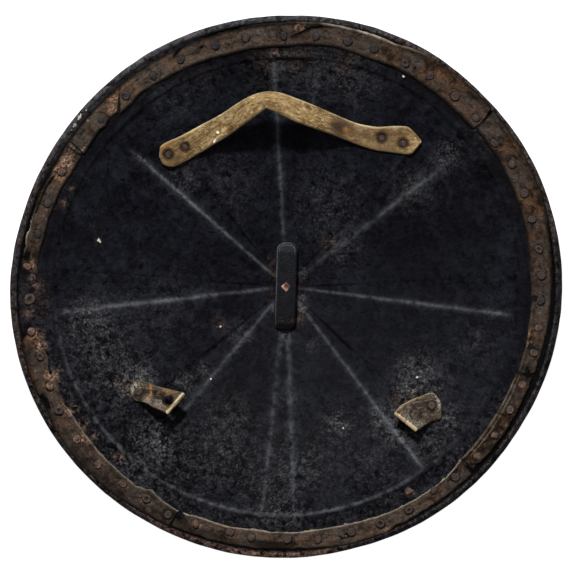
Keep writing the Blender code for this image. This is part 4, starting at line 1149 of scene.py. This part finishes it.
def leather_band(stations, along, across, pits, wrinkle, seed):
    """Points of a strap's lower face: stations joined by a smooth curve, with pits."""
    table = np.array(stations, dtype=float)
    marks = np.arange(len(table))
    wanted = np.linspace(0, len(table) - 1, along)
    slopes = np.gradient(table, axis=0) * 0.85
    low = np.minimum(wanted.astype(int), len(table) - 2)
    part = (wanted - marks[low])[:, None]
    curve = ((2 * part**3 - 3 * part**2 + 1) * table[low]
             + (part**3 - 2 * part**2 + part) * slopes[low]
             + (-2 * part**3 + 3 * part**2) * table[low + 1]
             + (part**3 - part**2) * slopes[low + 1])
    share = np.linspace(0, 1, across)[None, :]
    x = curve[:, 0:1] * (1 - share) + curve[:, 2:3] * share
    y = curve[:, 1:2] * (1 - share) + curve[:, 3:4] * share
    lift = np.maximum(curve[:, 4:5] * (1 - share) + curve[:, 5:6] * share, 0)
    flat = np.stack([x, y, 0 * x], axis=-1) * MM
    lift += wrinkle * rough(flat, 0.009, seed) * np.minimum(lift, 2.0) / 2
    points = flat.copy()
    points[..., 2] = inside_height(flat[..., 0], flat[..., 1]) + 0.0003 + MM * lift
    thick = np.ones(x.shape) + 0.10 * rough(flat, 0.006, seed + 3)
    for pit_x, pit_y, radius, depth in pits:
        far = np.hypot(x - pit_x, y - pit_y)
        thick *= 1 - depth * hump(far, radius, 4)
    return points, thick


def band_section(points, thick, thickness, edges):
    """Rows of points round a strap from end to end, and how pale each of them is painted, as cut edge
    with painted highlight.
    """
    rows, columns = thick.shape
    along = np.gradient(points, axis=0)
    aside = np.gradient(points, axis=1)
    normal = np.cross(aside, along)
    normal /= np.linalg.norm(normal, axis=-1, keepdims=True)
    normal *= np.sign(normal[..., 2:3])
    inward = aside / np.linalg.norm(aside, axis=-1, keepdims=True)
    top = points + normal * (thickness * thick)[..., None]
    top[:, [0, -1]] -= normal[:, [0, -1]] * EDGE_ROUNDING * 0.75
    middle = points + normal * thickness * 0.45
    right = middle[:, -1:] + inward[:, -1:] * EDGE_ROUNDING * 0.35
    left = middle[:, :1] - inward[:, :1] * EDGE_ROUNDING * 0.35
    around = np.concatenate([top, right, points[:, ::-1], left], axis=1)
    # Pale cut edges, brighter as painted highlight on the edge that faces the light
    pale = [edges[0], edges[0] * 0.4, *[0] * (columns - 4), edges[1] * 0.4, edges[1]]
    pale += [edges[1], *[0.1] * columns, edges[0]]
    values = np.tile(np.array(pale, dtype=float), (rows, 1))
    values[0] = np.maximum(values[0], edges[2])
    values[-1] = np.maximum(values[-1], edges[3])
    first = np.mean(around[0], axis=0) + 0 * around[:1]
    last = np.mean(around[-1], axis=0) + 0 * around[-1:]
    caps = []
    for ring, run, sign in ((around[:1], along[0], -1), (around[-1:], along[-1], 1)):
        run = run.mean(axis=0)
        run = run / np.linalg.norm(run)
        caps.append(ring * 0.94 + ring.mean(axis=1, keepdims=True) * 0.06 + sign * run * 0.0005)
    first_end = 0 * values[:1] + edges[2]
    last_end = 0 * values[:1] + edges[3]
    return (np.concatenate([first, caps[0], around, caps[1], last]),
            np.concatenate([first_end, first_end, values, last_end, last_end]))


def paint_band(mesh, points, all_rows, values, tones):
    """Paints a strap's pale edges with painted highlight, its run and width, its dark edges with
    painted shade, and the places of each look.
    """
    columns = points.shape[1]
    paint(mesh, "pale_edge_and_highlight", values)
    middle = points.mean(axis=1)
    steps = np.concatenate([[0], np.cumsum(np.linalg.norm(np.diff(middle, axis=0), axis=1))])
    run = np.concatenate([steps[:1], steps[:1], steps, steps[-1:], steps[-1:]])
    wide = np.linalg.norm(points[:, -1] - points[:, 0], axis=1).mean() / (columns - 1)
    side = np.array([*range(columns), columns, *range(columns - 1, -1, -1), -1])
    paint(mesh, "run", run[:, None] / LONGEST_BAND + 0 * values)
    paint(mesh, "side", (side + 1)[None, :] * wide / LONGEST_BAND + 0 * values)
    # Painted shade in a ring round each rivet that stands on the stub
    rings = np.zeros(all_rows.shape[:2])
    for ring_x, ring_y, ring_radius in tones.get("rings", ()):
        far = np.hypot(all_rows[..., 0] * 1000 - ring_x, all_rows[..., 1] * 1000 - ring_y)
        rings = np.maximum(rings, hump(far - ring_radius, 0.9))
    paint(mesh, "ring", rings)
    aside_mm = side * wide * 1000
    last_mm = (columns - 1) * wide * 1000
    # Dark edges with painted shade, as strong on each side as the tones give
    dark_edge_and_shade = tones["dark_edge_and_shade"][0] * hump(aside_mm, 2.2)
    dark_edge_and_shade = np.maximum(dark_edge_and_shade, tones["dark_edge_and_shade"][1] * hump(last_mm - aside_mm, 2.2))
    paint(mesh, "dark_edge_and_shade", dark_edge_and_shade[None, :] + 0 * values)
    # Stains, tones and flakes, and pits darkened with painted shade
    for look in ("stain", "orange", "pits_and_shade", "brown", "flakes"):
        sharp = 6 if look == "pits_and_shade" else 2
        paint(mesh, look, patches(all_rows.reshape(-1, 3), tones.get(look, ()), sharp))


def band_mesh(name, points, thick, thickness, tones, edges, hole=None):
    """A strap of leather with rounded edges. Its edges are painted pale, as cut edges with painted
    highlight: upper, lower, both ends.
    """
    all_rows, values = band_section(points, thick, thickness, edges)
    mesh = grid_mesh(name, all_rows, False, True)
    paint_band(mesh, points, all_rows, values, tones)
    turned = bmesh.new()
    turned.from_mesh(mesh)
    bmesh.ops.recalc_face_normals(turned, faces=turned.faces)
    turned.to_mesh(mesh)
    turned.free()
    if hole:
        x, y, radius = hole
        cut_away(mesh, lambda at: math.hypot(at.x * 1000 - x, at.y * 1000 - y) < radius)
    mesh.shade_smooth()
    return mesh


def band_grain(finish, along, across, detail, roughness, twist):
    """Grain that follows a strap, with lumps of this length and width in metres."""
    place = finish.tree.nodes.new("ShaderNodeCombineXYZ")
    put(finish.tree, finish.painted("run") * (LONGEST_BAND / along), place.inputs["X"])
    put(finish.tree, finish.painted("side") * (LONGEST_BAND / across), place.inputs["Y"])
    return finish.noise(place.outputs["Vector"], detail, roughness, twist)


WHITE_FLECKS = ((-72.3, 163.0, 1.4), (-76.1, 153.6, 1.1), (-75.0, 155.4, 0.8))
buff = Finish("buff_leather", 0.85, 0.08)
clouds = band_grain(buff, 0.030, 0.012, 5, 0.65, 0.4)
streaks = band_grain(buff, 0.010, 0.0028, 5, 0.75, 0.9)
fibres = buff.grain(0.0030, 5, 0.75, (0.8, 1.0, 1.0), 0.9)
fine = buff.grain(0.0012, 3, 0.75)
buff.colour = buff.mix(clouds.ramp(0.38, 0.62), (104, 77, 40), (170, 143, 98))
buff.coat(streaks.ramp(0.50, 0.38) * 0.75, (74, 51, 26))
buff.coat(streaks.ramp(0.53, 0.68) * 0.8, (206, 186, 146))
buff.coat(fibres.ramp(0.48, 0.34) * 0.7, (66, 46, 26))
buff.coat(fibres.ramp(0.56, 0.7) * 0.7, (214, 196, 158))
buff.coat(fine.ramp(0.42, 0.26), (60, 44, 28))
buff.coat(buff.painted("brown"), (86, 66, 46))
# Dark edges with painted shade
buff.coat(buff.painted("dark_edge_and_shade"), (64, 46, 26))
buff.coat(buff.painted("stain"), (62, 49, 38))
buff.coat(buff.painted("orange"), (172, 116, 58))
# Pale cut edges with painted highlight
buff.coat(buff.painted("pale_edge_and_highlight") * clouds.ramp(0.3, 0.6), (214, 198, 160))
# Pits with painted shade
buff.coat(buff.painted("pits_and_shade"), (16, 10, 8))
buff.coat(buff.spots(WHITE_FLECKS, fine), (246, 242, 230))
buff.surface((clouds, 0.001), (streaks, 0.0009), (fibres, 0.0006), (fine, 0.0003))

pits = [(x, y, radius + 0.5, 0.72) for _, x, y, radius in STRAP_RIVETS]
points, thick = leather_band(STRAP_STATIONS, 210, 22, pits, 0.5, 11)
strap_tones = {
    "dark_edge_and_shade": (0.3, 0.65),
    "stain": ((56.7, 168.3, 8, 1.0), (50, 171, 5, 0.5), (-96, 152, 8, 0.3), (84, 160, 9, 0.35),
              (-24, 190, 4, 0.5), (108, 160, 10, 0.3), (-118, 140, 12, 0.3)),
    "orange": ((63.0, 166.2, 2.4, 0.7), (-128, 150, 6, 0.35)),
    "pits_and_shade": [(x, y, radius + 1.1, 0.92) for _, x, y, radius in STRAP_RIVETS],
    "brown": ((-122, 136, 18, 0.7), (-10, 192, 24, 0.15), (74, 162, 18, 0.5),
              (104, 148, 20, 0.6), (58, 172, 12, 0.5), (-47, 186, 12, 0.25), (120, 162, 14, 0.3)),
}
strap_mesh = band_mesh("arm_strap", points, thick, 0.0034, strap_tones, (0.6, 0.15, 0.3, 0.9))
strap = piece("arm_strap_leather", strap_mesh, buff)
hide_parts("arm_strap")

# The two stubs of a second strap: thicker leather, its grain side grey-brown, cut through
# with a knife so that the pale inside shows. The left one keeps one empty rivet hole.

# Stations like the strap's
LEFT_STUB = (
    (-165.2, -106.2, -165.4, -110.6, 0, 0), (-162.6, -102.2, -164.0, -115.6, 0, 0),
    (-157.6, -100.2, -160.0, -120.6, 0, 0), (-150.6, -100.8, -152.2, -122.2, 1.2, 1.2),
    (-142.6, -104.0, -148.2, -123.4, 4.5, 4.5), (-132.0, -107.4, -141.4, -127.4, 9.5, 9.5),
    (-118.0, -111.2, -131.0, -131.8, 18, 18), (-106.9, -114.2, -124.8, -134.8, 27, 27),
)
RIGHT_STUB = (
    (161.8, -119.6, 164.4, -125.6, 0, 0), (157.6, -114.0, 164.6, -136.0, 0, 0),
    (152.7, -113.0, 162.8, -140.0, 0.2, 0.2), (141.1, -117.3, 153.4, -143.2, 0.5, 0.5),
    (130.5, -121.7, 146.4, -147.2, 3, 3.5), (120.0, -128.0, 140.6, -150.9, 8.5, 9.5),
    (113.9, -135.2, 136.6, -153.2, 16, 17),
)
stub = Finish("stub_leather", 0.82, 0.08)
clouds = stub.grain(0.010, 5, 0.65, twist=0.5)
fibres = band_grain(stub, 0.007, 0.0026, 5, 0.75, 0.9)
fine = stub.grain(0.0013, 3, 0.75)
stub.colour = stub.mix(clouds.ramp(0.32, 0.68), (55, 48, 41), (96, 86, 72))
stub.coat(stub.painted("brown"), (56, 48, 43))
stub.coat(stub.painted("stain"), (34, 24, 19))
# Dark edges with painted shade
stub.coat(stub.painted("dark_edge_and_shade"), (40, 30, 24))
stub.coat(fibres.ramp(0.50, 0.36), (24, 17, 12))
stub.coat(fibres.ramp(0.54, 0.68), (136, 121, 100))
stub.coat(fine.ramp(0.44, 0.32), (22, 15, 11))
stub.coat(stub.painted("orange") * fine.ramp(0.36, 0.56), (176, 118, 64))
stub.coat(stub.painted("flakes") * fine.ramp(0.48, 0.56), (176, 168, 156))
# Pale cut edges with painted highlight
stub.coat(stub.painted("pale_edge_and_highlight") * fibres.ramp(0.34, 0.58), (218, 194, 152))
# Pits and the empty hole with painted shade
stub.coat(stub.painted("pits_and_shade"), (18, 11, 9))
# Painted shade round the rivets, broken by the grain
stub.coat(stub.painted("ring") * clouds.ramp(0.42, 0.52), (12, 7, 6))
stub.surface((clouds, 0.001), (fibres, 0.0006), (fine, 0.0003))

left_pits = [(-156.2, -111.1, 5.5, 0.25)]
points, thick = leather_band(LEFT_STUB, 64, 22, left_pits, 0.3, 21)
# Some of the left stub's stains darken its hollow near the empty hole
left_tones = {
    "stain": ((-158, -112, 9, 0.7), (-149, -113, 5, 0.6), (-130, -117, 7, 0.85),
              (-137, -114, 6, 0.8), (-141, -110, 3, 0.5)),
    "dark_edge_and_shade": (0.5, 0.3),
    "orange": ((-143.8, -104.5, 1.0, 0.9), (-143.3, -106.6, 1.0, 0.9), (-143.0, -108.8, 1.0, 0.8),
               (-142.9, -111, 1.0, 0.8), (-143.1, -113.2, 1.0, 0.8), (-143.6, -115.4, 1.1, 0.7),
               (-125, -110.6, 2.5, 0.5), (-120, -112, 2, 0.5), (-147, -118, 2.5, 0.5),
               (-130, -109.4, 2, 0.4)),
    "pits_and_shade": ((-124.1, -121.0, 5.6, 0.95), (-128.6, -119.4, 3.6, 0.9), (-121.2, -116.4, 3.2, 0.8),
            (-113.6, -126.0, 1.8, 0.7),
            (-160.5, -116.5, 3.0, 0.6), (-134.5, -117.5, 1.6, 0.6), (-138.5, -112.5, 1.4, 0.6)),
    "brown": ((-150, -112, 10, 0.4),),
    "flakes": ((-159, -105, 4, 1.0), (-155, -108, 3, 0.9), (-163, -109, 3, 0.8),
               (-146, -120, 4, 0.5), (-134, -124, 5, 0.5), (-112, -117, 3, 0.7)),
    "rings": ((-156.2, -111.1, 5.4),),
}
left_mesh = band_mesh("stub_left", points, thick, 0.0045, left_tones,
                      (0.12, 0.25, 0.05, 1.0), (-124.1, -121.0, 4.0))
stub_left = piece("stub_left_leather", left_mesh, stub)
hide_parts("strap_stub_left")

right_pits = [(153.7, -125.6, 6.0, 0.22), (136.8, -134.3, 6.5, 0.22)]
points, thick = leather_band(RIGHT_STUB, 56, 22, right_pits, 0.3, 31)
right_tones = {
    "dark_edge_and_shade": (0.15, 0.4),
    "stain": ((149, -130, 13, 0.35), (139, -130, 7, 0.4), (155, -121, 6, 0.5)),
    "orange": ((122, -140, 5, 0.3),),
    "pits_and_shade": ((157.5, -118.6, 1.4, 0.8),),
    "brown": ((150, -128, 14, 0.6), (134, -136, 12, 0.4)),
    "flakes": ((161, -117, 5, 1.0), (163, -124, 4, 0.9), (128, -142, 7, 0.6),
               (140, -147, 6, 0.5)),
    "rings": ((153.7, -125.6, 5.4), (136.8, -134.3, 6.0)),
}
right_mesh = band_mesh("stub_right", points, thick, 0.0045, right_tones, (0.45, 0.05, 0.15, 1.0))
stub_right = piece("stub_right_leather", right_mesh, stub)
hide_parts("strap_stub_right")

# The seven rivets of strap and stubs: iron, rusted purple-brown. Those of the arm strap lie
# deep in the leather, and those of the stubs stand on it.

# Name and place in mm
STUB_RIVETS = (
    ("stub_rivet_left", -156.2, -111.1),
    ("stub_rivet_right_outer", 153.7, -125.6),
    ("stub_rivet_right_inner", 136.8, -134.3),
)
# Sections as for the rivets of the lining
SUNK_HEAD = ((0, 1.0, 0.1), (1.4, 0.95, 0), (2.6, 0.7, 0.1), (3.7, 0.3, 0.5), (4.3, -0.3, 1),
             (4.2, -1.0, 1))
PROUD_HEAD = ((0, 0.5, 0.6), (1.0, 0.6, 0.5), (1.6, 0.9, 0.1), (2.6, 1.0, 0), (3.6, 0.8, 0.1),
              (4.2, 0.3, 0.5), (4.6, -0.3, 1), (4.5, -0.8, 1))
rusty = Finish("rusted_iron", 0.68, 0.2)
mottle = rusty.grain(0.0035, 4, 0.65)
fine = rusty.grain(0.0011, 4, 0.7)
rusty.colour = rusty.mix(mottle.ramp(0.35, 0.65), (34, 24, 22), (74, 57, 51))
rusty.coat(fine.ramp(0.6, 0.74), (136, 114, 106))
# Painted shade at the heads' rims and in their hollows
rusty.coat(rusty.painted("groove"), (20, 13, 12))
rusty.surface((mottle, 0.0006), (fine, 0.0003))

for number, (name, x, y, *_) in enumerate(STRAP_RIVETS + STUB_RIVETS):
    sunk = name.startswith("strap")
    height = 1.2 if sunk else 5.0
    if name == "stub_rivet_right_inner":
        height = 8.2
    section = rivet_section(SUNK_HEAD if sunk else PROUD_HEAD, height, 1.0, 2.1)
    head = turned_mesh(name, section, 28, 60 + number, 0.0003)
    head.transform(seated(MM * x, MM * y, MM * height))
    rivet = piece(name + "_head", head, rusty)
    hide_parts(name)

# The floor, pale and plain, under soft studio light that comes from the top, and the camera
# straight above the shield on a long lens.

floor_mesh = bpy.data.meshes.new("floor")
FLOOR_REACH = 4
floor_corners = [(x * FLOOR_REACH, y * FLOOR_REACH, 0) for x, y in ((-1, -1), (1, -1), (1, 1), (-1, 1))]
floor_mesh.from_pydata(floor_corners, [], [(0, 1, 2, 3)])
floor = bring_in("floor", floor_mesh)
paper = Finish("floor_paper", 0.9, 0.2)
paper.shader.inputs["Base Color"].default_value = (0.3, 0.3, 0.3, 1.0)
paper.shader.inputs["Emission Color"].default_value = (1.0, 1.0, 1.0, 1.0)
paper.shader.inputs["Emission Strength"].default_value = 0.95
floor_mesh.materials.append(paper.material)

world = bpy.data.worlds.new("studio")
world.use_nodes = True
world.node_tree.nodes["Background"].inputs["Color"].default_value = (1.0, 1.0, 1.0, 1.0)
world.node_tree.nodes["Background"].inputs["Strength"].default_value = 0.27
bpy.context.scene.world = world


def studio_light(name, place, target, size, power):
    """A square soft light that looks at a point."""
    data = bpy.data.lights.new(name, "AREA")
    data.size = size
    data.energy = power
    made = bring_in(name, data)
    made.location = place
    made.rotation_euler = (Vector(target) - Vector(place)).to_track_quat("-Z", "Y").to_euler()


studio_light("key", (-0.45, 2.05, 2.75), (0, 0, 0.04), 0.32, 162)
studio_light("side", (1.8, -0.4, 2.4), (0, 0, 0.04), 1.6, 5)

# The camera sees this width at the height of the rim
CAMERA_HEIGHT = 6.0
RIM_HEIGHT = 0.075
VIEW_WIDTH = 0.601
VIEW_MIDDLE = (-0.00127, 0.00169)
SENSOR_WIDTH = 36
camera_data = bpy.data.cameras.new("camera")
camera_data.sensor_width = SENSOR_WIDTH
camera_data.lens = SENSOR_WIDTH * (CAMERA_HEIGHT - RIM_HEIGHT) / VIEW_WIDTH
camera_data.clip_end = 50
camera = bring_in("camera", camera_data)
camera.location = (*VIEW_MIDDLE, CAMERA_HEIGHT)
bpy.context.scene.camera = camera
bpy.context.scene.view_settings.view_transform = "Standard"
